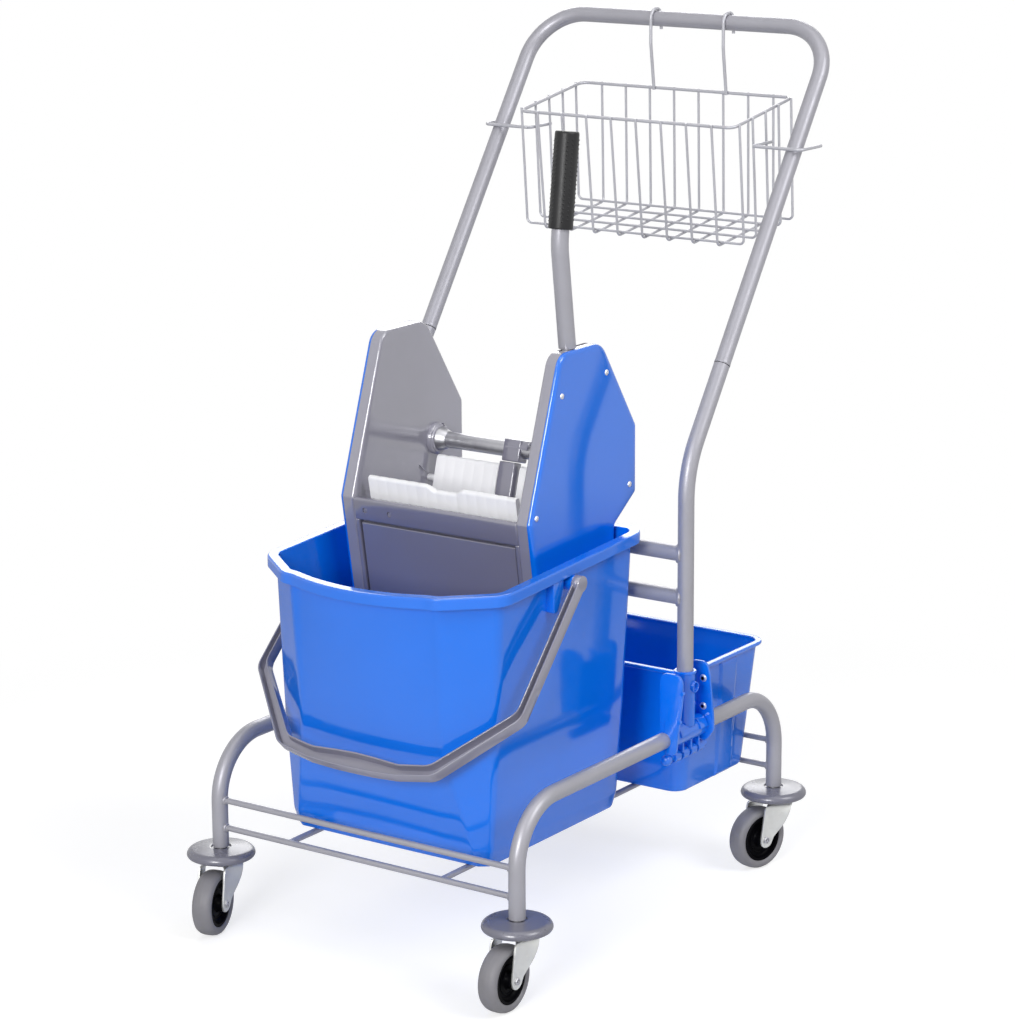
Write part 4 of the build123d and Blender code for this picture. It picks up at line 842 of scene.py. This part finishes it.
# %% [markdown]
# ## The bucket
# The bucket is one moulding: a flat front that bulges into a pouring lip, wide bevels at the front
# corners, a crease where the front turns in, and a rim rolled over into a skirt. It could be a cube
# with many cuts, but its walls are ruled between a few level outlines, so the outlines are drawn
# once, mixed by height, and a net is laid over them: up the inside, over the rim, down the outside.

# %% Outlines of the bucket by height
RIM_FRONT_Y, RIM_Z = -303.75, 445
# height, half width, front, back, bevel across, bevel back, lip, corner round
BUCKET_LEVELS = [
    (126, 136.5, -262.75, 2, 12, 9, 0.5, 5),
    (146, 141.5, -269.75, 4.25, 17, 12, 0.5, 9),
    (264, 149.5, -292.75, 6.25, 52, 31, 6, 16),
    (RIM_Z, 158, RIM_FRONT_Y, 10.25, 56, 43, 18, 20),
]
CREASE_SOFT, CREASES = 0.05, (0.2, 2.8)


def straight_level(at):
    """The outline's numbers at a height from 0, the base, to 3, the rim."""
    at = min(max(at, 0), 3)
    low = min(int(at), 2)
    pairs = zip(BUCKET_LEVELS[low], BUCKET_LEVELS[low + 1])
    return [one + (two - one) * (at - low) for one, two in pairs]


def bucket_level(at):
    """The same, with the creases between the levels made soft."""
    if not CREASES[0] < at < CREASES[1]:
        return straight_level(at)
    below, above = straight_level(at - CREASE_SOFT), straight_level(at + CREASE_SOFT)
    return [(a + 2 * b + c) / 4 for a, b, c in zip(below, straight_level(at), above)]


print("bucket at half height:", [round(v, 1) for v in bucket_level(1.5)])

# %% Rings of the bucket
BUCKET_RUNS = [30, 4, 10, 12, 10, 4]
BACK_ROUND, LIP_HALF = 16, 92
RIM_SLOPE = tan(radians(3.2))


def bucket_ring(at, grow=0, lift=0):
    """A ring of the bucket at that height, moved outwards and up."""
    height, half, front, back, across, deep, lip, curve = bucket_level(at)
    corners = [(-half + across, front), (half - across, front), (half, front + deep),
               (half, back), (-half, back), (-half, front + deep)]
    bends = [max(curve + grow, 1)] * 6
    bends[3] = bends[4] = BACK_ROUND + grow
    tilt = max(at - 2, 0) * RIM_SLOPE
    ring = []
    for x, y in rounded(moved_out(corners, grow), bends, 6, BUCKET_RUNS):
        if y < front + deep * 0.5 and abs(x) < LIP_HALF:
            y -= lip * (1 - (x / LIP_HALF) ** 2)
        ring.append((x, y, height + lift + (y - RIM_FRONT_Y) * tilt))
    return ring


print("points round the bucket:", len(bucket_ring(0)))

# %% Net of the bucket
WALL = 3
# height, and how far the ring is moved out and up
INSIDE = [(0, -9, 3), (0, -5, 3.3), (0.08, -3.6, 3), (0.25, -WALL), (0.6, -WALL)]
INSIDE += [(at / 10, -WALL) for at in (9, 10, 11, 13, 15, 17, 19, 20, 21, 23, 25, 27, 29)]
RIM = [
    (-3, -5), (-2.9, -1.2), (-2.5, -0.4), (-1.7, 0), (-1.1, 0), (7.2, 0), (7.9, 0), (9, -0.25),
    (9.7, -0.9), (10, -2), (10, -2.7), (10, -11.8), (10, -12.4), (9.8, -12.9), (9.3, -13),
    (7.6, -13), (7.3, -12.6), (7.2, -5), (6.4, -3.4), (2, -3), (0.2, -4.4)]
OUTSIDE = [(at / 10,) for at in (29, 27, 25, 23, 21, 20.4, 20, 19.6, 19, 17, 15, 13, 11, 10.4, 10,
                                 9.6, 9, 6, 3, 1.5)]
OUTSIDE += [(0.06, -0.6), (0.02, -1.8), (0, -3.6), (0, -9)]
over_rim = [(3, grow, lift) for grow, lift in RIM]
rings = [bucket_ring(*step) for step in INSIDE + over_rim + OUTSIDE]
bucket = skin(rings)
print("bucket net:", len(rings), "rings of", len(rings[0]))

# %% [markdown]
# Inside, two ledges carry the wringer. Outside, each bail pivot is a boss with a stud, and a square
# rib drops from the rim in front of it. They are moulded in one with the bucket, so they are joined.

# %% Ledges, pivots and ribs
PIVOT = (-133.75, 432.5)
BOSS = [(0, 0), (10.5, 0), (9.4, 2), (9, 6), (9, 14), (8.4, 14.6), (5, 14.6), (5, 22.4),
        (4.2, 22.8), (0, 22.8)]
BOSS_X = 155.2
# ledge, rib and short rib: two corners and the round of the edges
BUCKET_BLOCKS = [
    ((112, -127.75, 324), (150.8, -17.75, 334), 2),
    ((155.4, -171, 405), (166.4, -156, 452), 1.2),
    ((155.4, -157, 420), (164.4, -149, 452.6), 1),
]
for side in (-1, 1):
    for low, high, edge in BUCKET_BLOCKS:
        join(bucket, block(low, high, edge, lambda x, y, z: (side * x, y, z)))
    join(bucket, turned(BOSS, (side * BOSS_X, *PIVOT), (side, 0, 0), 32))
settle(bucket, "bucket_shell", "bucket", "blue_plastic", "bucket", smooth=24)

# %% [markdown]
# ## The bail
# The bucket's carrying handle is a moulded bow with a U-shaped section, open to the front: two thin
# lips with a dark groove between them. Its edges aren't parallel, because the grip swells in the
# middle and has a low hump for the fingers. So an inner and an outer line are drawn in the
# flat of the bow, and the U is laid between them station by station.

# %% Inner and outer line of the bow
BAIL_DROP = radians(45.5)
BOW_DOWN = Vector((0, -cos(BAIL_DROP), -sin(BAIL_DROP)))
BOW_FACE = Vector((0, -sin(BAIL_DROP), cos(BAIL_DROP)))
BOW_INNER = [(170.3, 0), (176, 171), (99, 254), (60, 260.6), (26, 258.4), (0, 257.5)]
BOW_OUTER = [(179.7, 0), (185.6, 179), (108.5, 266.5), (60, 275.5), (26, 277.4), (0, 277.6)]
BOW_BENDS = [0, 20, 22, 40, 40, 0]
BOW_RUNS = [14, 8, 5, 4, 4]
# the U of one lip: distance from the bow's edge, and height above its flat
GROOVE = [(0.7, -7.4), (0, -6.7), (0, 6.6), (0.3, 7.2), (0.9, 7.4), (1.6, 7.4), (2.1, 7),
          (2.5, -1.8), (3.2, -2.8)]


def whole_bow(half):
    """One half of a line of the bow, and its mirror image on the left."""
    line = rounded(half, BOW_BENDS, 6, BOW_RUNS, closed=False)
    return line + [(-x, down) for x, down in reversed(line[:-1])]


def bow_section(inner, outer):
    """The U across the bow between two points of its lines."""
    inner, outer = Vector(inner), Vector(outer)
    width = (outer - inner).length
    section = []
    for at, up in GROOVE + [(width - at, up) for at, up in reversed(GROOVE)]:
        x, down = inner.lerp(outer, at / width)
        section.append(tuple(Vector((x, *PIVOT)) + BOW_DOWN * down + BOW_FACE * up))
    return section


stations = list(zip(whole_bow(BOW_INNER), whole_bow(BOW_OUTER)))
bail = skin([bow_section(inner, outer) for inner, outer in stations])
print("bow stations:", len(stations))

# %% Hubs on the pivots
BAIL_HUB = [(5.2, 169.9), (8.8, 169.9), (9.4, 170.6), (9.4, 179.2), (9, 179.8), (8.2, 180),
            (0, 180), (0, 178.4), (5.2, 178.4)]
for side in (-1, 1):
    join(bail, turned(BAIL_HUB, (0, *PIVOT), (side, 0, 0)))
# the bow wears the darker copy of the grey: painted shade
settle(bail, "bail_bow", "bail", "grey_plastic", "bail", look=bail_grey_painted_shade)

# %% [markdown]
# ## The wringer's cheeks and covers
# Each side of the wringer is a grey cheek with a blue cover screwed on its outside. Both have the
# same outline. The cheek has a narrow round along its inner edge, where the light catches, and the
# cover's edge is broader and softer. Bevels could give that, but at the concave waist wide ones cross
# over, so the outline is drawn at several insets and the rings are skinned.

# %% Outline of a cheek
SHAFT = (-7.75, 539.7)
CHEEK = [(-135, -205.5), (5, -205.5), (10, -74), (54.5, -43), (54.5, 37), (-16, 144), (-100, 144),
         (-162, -40)]
CHEEK_BENDS = [3, 3, 8, 6, 9, 26, 20, 8]
WAIST = 2
CHEEK_IN, COVER_OUT = 114, 134
# distance from the middle, and inset of the outline
BORDER = [(114, 9), (114, 3.4), (114.2, 2.2), (114.7, 1.2), (115.5, 0.45), (116.6, 0.08),
          (117.6, 0), (128.9, 0)]
COVER_EDGE = [(129, 0), (130.2, 0), (131.6, 0.5), (132.8, 1.5), (133.6, 2.9), (134, 4.8),
              (134, 9)]


def at_shaft(x, y, z):
    """A place measured from the middle of the shaft."""
    return Vector((x, SHAFT[0] + y, SHAFT[1] + z))


def cheek_ring(x, inset):
    """The cheek's outline at a distance from the middle, drawn in by an inset."""
    bends = [max(bend - inset, 0.8) for bend in CHEEK_BENDS]
    bends[WAIST] = CHEEK_BENDS[WAIST] + inset
    return [at_shaft(x, y, z) for y, z in rounded(moved_out(CHEEK, -inset), bends)]


cheek_right = skin([cheek_ring(*step) for step in BORDER])
cheek_left = twin(cheek_right)
cover = skin([cheek_ring(*step) for step in COVER_EDGE])
settle_twins(cover, "side_cover", "wringer", "blue_plastic", "cover", smooth=28)

# %% [markdown]
# The right cheek is slotted where the lever's flat plate comes out of its top, and both cheeks have a
# curved slot for the pegs of the pressing jaw. The slots are cut with Boolean modifiers by plates of
# their own outline.

# %% Slots in the cheeks
LEVER_AT, SWING = 113.6, 34
PEG_ORBIT, PEG_AT, PEG_ROOM = 46.92, 252.6, 4.5
LEVER_SLOT, PEG_SLOT = (117, 121.9), (110, 115.6)
# degrees in front of the lever and behind it, reach past the cheek, room round the hub
SLOT_FRONT, SLOT_BACK, SLOT_REACH, HUB_ROOM = 7, 18, 300, 17.5


def polar(radius, angle):
    """A place round the shaft, in the side view."""
    return (SHAFT[0] + radius * cos(radians(angle)), SHAFT[1] + radius * sin(radians(angle)))


def upright_plate(outline, low, high):
    """A side-view outline given a thickness between two distances from the middle."""
    return skin([[(x, *point) for point in outline] for x in (low, high)])


opening = SLOT_FRONT + SWING + SLOT_BACK
sweep = [LEVER_AT + SLOT_FRONT - step * opening / 6 for step in range(7)]
lever_way = upright_plate([SHAFT] + [polar(SLOT_REACH, angle) for angle in sweep], *LEVER_SLOT)
hub_way = upright_plate([polar(HUB_ROOM, angle) for angle in range(0, 360, 15)], *LEVER_SLOT)
peg_angles = [PEG_AT - step * SWING / 8 for step in range(9)]
peg_way = [polar(PEG_ORBIT + PEG_ROOM, angle) for angle in peg_angles]
peg_way += [polar(PEG_ORBIT - PEG_ROOM, angle) for angle in reversed(peg_angles)]
for piece, side in ((cheek_right, 1), (cheek_left, -1)):
    cut(piece, upright_plate(peg_way, *[side * x for x in PEG_SLOT]))
cut(cheek_right, lever_way, hub_way)
settle(cheek_left, "cheek_panel_left", "wringer", "grey_plastic", "cheek_left", smooth=28)
settle(cheek_right, "cheek_panel_right", "wringer", "grey_plastic", "cheek_right", smooth=28)

# %% [markdown]
# The covers' screws have round heads with a cross in them. One is spun and crossed by two thin
# blocks, at the four places on each side.

# %% Cover screws
COVER_SCREWS = [(-99, 96.5), (-9, 108.5), (39, -31.5), (-150, -33.5)]
HEAD = [(0, -3), (2, -3), (2, 0), (3.5, 0), (3.4, 0.5), (2.9, 1), (2, 1.35), (1, 1.5), (0, 1.5)]
CROSS = [Vector((0, 0.45, 2.2)), Vector((0, 2.2, 0.45))]
CROSS_FLOOR, CROSS_TOP = 0.7, 3
screws = []
for side in (-1, 1):
    out = Vector((side, 0, 0))
    for y, z in COVER_SCREWS:
        spot = at_shaft(side * COVER_OUT, y, z)
        head = turned(HEAD, spot, out, 24)
        for arm in CROSS:
            cut(head, block(spot + out * CROSS_FLOOR - arm, spot + out * CROSS_TOP + arm))
        screws.append(head)
settle(join(*screws), "cover_screw_heads", "wringer", "screw_steel", "cover_screws")

# %% [markdown]
# ## The front panel
# Between the cheeks a grey panel closes the front: a stout bar along its top, narrow posts at its
# sides, and a sunk sheet that leaves a dark gap under the bar. Its parts are rounded blocks in the
# panel's own leaning frame.

# %% Bar, posts and sunk sheet
PANEL_TOP = at_shaft(0, -162, -40)
PANEL_HIGH, PANEL_LEAN = 165.5, 27
PANEL_LENGTH = hypot(PANEL_HIGH, PANEL_LEAN)
PANEL_UP = Vector((0, -PANEL_LEAN, PANEL_HIGH)) / PANEL_LENGTH
PANEL_OUT = Vector((0, -PANEL_HIGH, -PANEL_LEAN)) / PANEL_LENGTH
PANEL_HALF, PANEL_FOOT = CHEEK_IN + 1, 0.5 - PANEL_LENGTH
# bar, two posts, sheet, backing and fold: two corners and the round of the edges
PANEL_BLOCKS = [
    ((-PANEL_HALF, -27, -8), (PANEL_HALF, 0, 0.2), 2.2),
    ((-PANEL_HALF, PANEL_FOOT, -8), (-109.4, -26, -0.2), 1.6),
    ((109.4, PANEL_FOOT, -8), (PANEL_HALF, -26, -0.2), 1.6),
    ((-107.6, PANEL_FOOT, -7), (107.6, -30.4, -2), 1.2),
    ((-110, PANEL_FOOT, -9.6), (110, -20, -7.9), 0),
    ((-102, PANEL_FOOT, -4), (102, -35, -1.5), 0.5),
]
PANEL_PIN = [(0, -3), (2.3, -3), (2.3, -0.9), (2, -0.6), (1.2, -0.5), (0.9, -1), (0, -1)]
PIN_HOLE = [(0, -1.6), (3.3, -1.6), (3.3, 2), (0, 2)]
PIN_XS, PIN_UP = (-99, -64), -14


def on_panel(x, up, out):
    """A place on the leaning panel."""
    return Vector((x, 0, 0)) + PANEL_TOP + PANEL_UP * up + PANEL_OUT * out


panel = join(*[block(*row, on_panel) for row in PANEL_BLOCKS])
pins = []
for x in PIN_XS:
    spot = on_panel(x, PIN_UP, 0)
    cut(panel, turned(PIN_HOLE, spot, PANEL_OUT, 24))
    pins.append(turned(PANEL_PIN, spot, PANEL_OUT, 24))
# panel and pins wear the darker copies of the grey: painted shade
settle(panel, "wringer_front", "wringer", "grey_plastic", "front_panel", look=panel_grey_painted_shade)
settle(join(*pins), "panel_pins", "wringer", "screw_steel", "panel_screws", look=bail_grey_painted_shade)

# %% [markdown]
# ## The jaws
# A mop is squeezed between two white jaws. The front one is fixed, with a dip in the middle of its
# top edge; the rear one hangs from the shaft. Both are fluted from top to bottom. A flute is
# only a shift of the face in and out, so a section is drawn for each step across, and skinned.

# %% Fluted section
FLUTE, FLUTE_STEP, FLUTE_SHAPE = 14, 1.1, 0.7
# how far a groove lies behind a crown: on the front, on the back and at the top
GROOVE_FRONT, GROOVE_BACK, GROOVE_TOP = 0.6, 0.4, 0.5


def jaw_section(x, top, foot, front, back, place):
    """Across a jaw: up its back, over the round top and down its fluted front."""
    sunk = 1 - abs(cos(pi * x / FLUTE)) ** FLUTE_SHAPE
    front -= GROOVE_FRONT * sunk
    back += GROOVE_BACK * sunk
    top -= GROOVE_TOP * sunk
    middle, half = (front + back) / 2, (front - back) / 2
    line = [(foot, back), ((foot + top) / 2, back)]
    for turn in range(0, 181, 30):
        line.append((top - half * (1 - sin(radians(turn))), middle - half * cos(radians(turn))))
    line += [((foot + top) / 2, front), (foot, front)]
    return [tuple(place(x, up, out)) for up, out in line]


def jaw_skin(low, high, top, *section):
    """A jaw between two distances from the middle; top gives the height of its edge."""
    count = round((high - low) / FLUTE_STEP)
    across = [low + (high - low) * i / count for i in range(count + 1)]
    return skin([jaw_section(x, top(x), *section) for x in across])


def leaning(top_at, lean_y, lean_z):
    """Place function of a leaning plane: its top, and the direction of its front."""
    front = Vector((0, lean_y, lean_z)).normalized()
    up = Vector((0, front.z, -front.y))
    start = at_shaft(0, *top_at)
    return lambda x, rise, out: Vector((x, 0, 0)) + start + up * rise + front * out


print("sections to a flute:", round(FLUTE / FLUTE_STEP))


# %% Front jaw
JAW_LEAN = (-164, -33)
on_front_jaw = leaning((-145, -9.5), *JAW_LEAN)
EDGE_TOP, DIP_DEPTH, DIP_AT, DIP_FLAT, DIP_SLOPE = -6, 5.5, 4, 12, 15


def front_edge(x):
    """The top edge of the front jaw, with its dip."""
    past = min(max((abs(x - DIP_AT) - DIP_FLAT) / DIP_SLOPE, 0), 1)
    return EDGE_TOP - DIP_DEPTH * (0.5 + 0.5 * cos(pi * past))


front_jaw = jaw_skin(-103.5, 103.5, front_edge, -hypot(*JAW_LEAN), 4, -4, on_front_jaw)
settle(front_jaw, "front_jaw_flutes", "wringer", "white_plastic", "front_jaw", smooth=50)

# %% Rear jaw in two halves, a bridge and two pegs
REAR_LEAN = radians(15.7)
on_rear_jaw = leaning((-11, -15.5), -cos(REAR_LEAN), sin(REAR_LEAN))
REAR_HALF, REAR_FOOT = 104.5, -128
# from, to, height of the edge, front and back face
REAR_PARTS = [(-REAR_HALF, -15, -0.2, 0, -10), (15, REAR_HALF, -0.2, 0, -10),
              (-16, 16, -88, -0.1, -9.9)]
parts = [jaw_skin(low, high, lambda x: top, REAR_FOOT, front, back, on_rear_jaw)
         for low, high, top, front, back in REAR_PARTS]
PEG = [(0, -3), (4.6, -3), (4.6, 2), (4, 2.6), (4, 10.2), (3.4, 10.8), (0, 10.8)]
PEG_UP, PEG_BACK = -29, -5
for side in (-1, 1):
    seat = on_rear_jaw(side * REAR_HALF, PEG_UP, PEG_BACK)
    parts.append(turned(PEG, seat, (side, 0, 0), 24))
settle(join(*parts), "rear_jaw_flutes", "lever", "white_plastic", "rear_jaw", smooth=50)

# %% [markdown]
# ## Shaft fittings
# A two-part block hangs the rear jaw on the shaft: the upper part grips the shaft, the lower one
# carries the jaw and stands a little forward. At each cheek the shaft runs in a flanged bush
# with a bright flared collar.

# %% Press arm
STRAP = [(9.6, -6), (12.4, -6), (13, -5.4), (13, 24.4), (12.4, 25), (9.6, 25)]
STRAP_FOOT = 4.5
strap = turned(STRAP, (0, *SHAFT), (1, 0, 0), 48)
cut(strap, block(at_shaft(-40, -30, -30), at_shaft(40, 30, STRAP_FOOT)))
# two corners and the round of the edges
ARM_UPPER = ((-8.5, 3.4, -12), (15.5, 29.4, 6.2), 1.6)
ARM_LOWER = ((-11, -88, -9), (11, 2.6, 5.6), 1.4)
SHAFT_BORE = both_ends([(0, 20), (9.55, 20)])
upper, lower = [block(*row, on_rear_jaw) for row in (ARM_UPPER, ARM_LOWER)]
# bored before it is joined: a cut through overlapping meshes comes out differently each time
cut(upper, turned(SHAFT_BORE, (0, *SHAFT), (1, 0, 0), 40))
arm = join(upper, lower, strap)
# the press arm wears the panel's darker copy of the grey: painted shade
settle(arm, "press_arm_blocks", "lever", "grey_plastic", "press_arm", look=panel_grey_painted_shade)

# %% Bushes and collars
BUSH = [(9.6, 0), (19, 0), (19, 4.6), (18.4, 5.4), (17.2, 5.8), (16.6, 7.4), (15.6, 8),
        (14.4, 8), (14, 7.2), (9.6, 7.2)]
COLLAR = [(9.55, 7.4), (13.8, 7.4), (14.2, 8), (14, 9), (12.2, 14), (10.8, 18.5), (10.2, 19.2),
          (9.55, 19.2)]
bushes, collars = [], []
for side in (-1, 1):
    seat = (side * CHEEK_IN, *SHAFT)
    notch = block(at_shaft(side * 116, 4, 14), at_shaft(side * 105, 9, 21))
    bushes.append(cut(turned(BUSH, seat, (-side, 0, 0), 48), notch))
    collars.append(turned(COLLAR, seat, (-side, 0, 0), 48))
settle(join(*bushes), "bush_flanges", "wringer", "grey_plastic", "shaft_bushes")
settle(join(*collars), "shaft_collars", "lever", "zinc", look=shaft_plate)

# %% [markdown]
# ## Lever neck and grip
# The lever is a bent tube. It reaches down to the cheek's top and ends on a flat tongue that goes into
# the slot there, so its foot is skinned from round to flat. The black grip is pushed over the tube's
# end. Small diamond studs stand in rows along it, with plain strips between the rows, so one stud is
# copied over the spun grip.

# %% Foot of the lever
LEVER_X = 119.3
X_AXIS = Vector((1, 0, 0))
OVAL_STEPS = 32
# distance up the lever, half width in its plane, half thickness across
NECK = [(12, 10.03, 10.03), (-9.6, 10.03, 10.03), (-9.6, 9.2, 9.2), (-9.4, 8.6, 2.1),
        (-16, 8.6, 2.1)]
# foot, knee and top of the lever's line, from the shaft
LEVER_WAY = [(-67.7, 155), (-81.5, 264), (-65.7, 385)]
foot, knee, top = [at_shaft(LEVER_X, *place) for place in LEVER_WAY]
run = (knee - foot).normalized()
in_plane = run.cross(X_AXIS).normalized()


def oval(along, wide, thick):
    """A ring round the lever, wide in its plane and thick across it."""
    turns = [2 * pi * step / OVAL_STEPS for step in range(OVAL_STEPS)]
    at = foot + run * along
    return [tuple(at + in_plane * wide * cos(turn) + X_AXIS * thick * sin(turn)) for turn in turns]


settle(skin([oval(*row) for row in NECK]), "lever_foot", "lever", "frame_paint")

# %% Grip with its rows of studs
GRIP = [(10.1, -105), (13.2, -105), (13.9, -104.2), (14, -102.6), (13.75, -98), (13.75, 0),
        (13.4, 1.8), (12.6, 2.8), (11.4, 3), (0, 3), (0, 1), (10.1, 1)]
STUD_ROWS, STUDS = 14, 19
BARE_ROWS = (3, 6)
STUD_START, STUD_STEP, STUD_SHIFT, STUD_OUT = -6, 4.9, 2.4, 13.7
STUD = [(-1.5, 0, 0), (0, -1.7, 0), (1.5, 0, 0), (0, 1.7, 0), (0, 0, 0.9)]
grip_run = (top - knee).normalized()
grip = turned(GRIP, top, grip_run, 64)
across = grip_run.cross(X_AXIS).normalized()
bpy.ops.mesh.primitive_cone_add(vertices=4, end_fill_type="NOTHING")
stud_one = bpy.context.object
studs = []
for row in range(STUD_ROWS):
    if row % 7 in BARE_ROWS:
        continue
    turn = 2 * pi * (row + 0.5) / STUD_ROWS
    out = across * cos(turn) + X_AXIS * sin(turn)
    to_grip = Matrix((grip_run.cross(out), grip_run, out)).transposed()
    for step in range(STUDS):
        along = STUD_START - STUD_STEP * step - STUD_SHIFT * (row % 2)
        stud = stud_one.copy()
        stud.data = stud_one.data.copy()
        bpy.context.collection.objects.link(stud)
        for vertex, place in zip(stud.data.vertices, STUD):
            vertex.co = (top + grip_run * along + out * STUD_OUT + to_grip @ Vector(place)) * MM
        studs.append(stud)
bpy.data.objects.remove(stud_one)
print("studs on the grip:", len(studs))
join(grip, close_up(join(*studs), False))
settle(grip, "lever_grip", "lever", "grip_rubber", "grip", smooth=30)

# %% [markdown]
# ## The tray
# Behind the bucket stands a plain tray: an upright front, walls that lean out, a rolled rim, and one
# shallow raised band down each side. Like the bucket it is a net over outlines by height. The band
# is made by moving the points of the side walls outwards between two lines.

# %% Outline of the tray by height
TRAY_FRONT_Y, TRAY_Z, TRAY_H = 77.25, 126, 152
# at the base, and how much more at the rim
TRAY_HALF, TRAY_BACK = (176, 7), (230, 24)
TRAY_ROUND = 19
TRAY_RUNS = [24, 100, 24, 100]
BAND_FROM, BAND_TO, BAND_RISE, BAND_STEP = 156, 193, 2.4, 2


def ease(value):
    """Smooth step from 0 to 1."""
    value = min(max(value, 0), 1)
    return value * value * (3 - 2 * value)


def tray_ring(at, grow=0, lift=0, band=1):
    """A ring of the tray at a share of its height, moved outwards and up."""
    half, back = [base + more * at for base, more in (TRAY_HALF, TRAY_BACK)]
    corners = [(-half, TRAY_FRONT_Y), (half, TRAY_FRONT_Y), (half, back), (-half, back)]
    ring = []
    for x, y in rounded(moved_out(corners, grow), [TRAY_ROUND + grow] * 4, 8, TRAY_RUNS):
        raised = ease((y - BAND_FROM) / BAND_STEP) * ease((BAND_TO - y) / BAND_STEP) * band
        if abs(x) > half + grow - 1:
            x += raised * BAND_RISE * (1 if x > 0 else -1)
        ring.append((x, y, TRAY_Z + TRAY_H * at + lift))
    return ring


print("points round the tray:", len(tray_ring(0)))


# %% Net of the tray
T_WALL = 2.5
T_RIM = [(-2.5, -5), (-2.4, -1.6), (-1.6, -0.4), (0, 0), (3, 0), (4.8, -0.5), (5.8, -1.7),
         (6, -3.2), (5.4, -4.6), (4.4, -5), (1.2, -5), (0.2, -6.4)]
steps = [0.08, 0.2, 0.4, 0.6, 0.8, 0.93]
# share of the height, how far the ring is moved out and up, and the share of the band
tray_net = [(0, -9, T_WALL, 0), (0, -4.4, T_WALL + 0.4, 0), (0.03, -2.8, T_WALL, 0)]
tray_net += [(at, -T_WALL) for at in steps]
tray_net += [(1, grow, lift, 0) for grow, lift in T_RIM]
tray_net += [(at,) for at in reversed(steps)]
tray_net += [(0.03, -0.1), (0.012, -0.6, 0, 0.6), (0, -2, 0, 0.2), (0, -9, 0, 0)]
tray = skin([tray_ring(*row) for row in tray_net])
settle(tray, "tray_shell", "tray", "blue_plastic", "tray", smooth=24)

# %% [markdown]
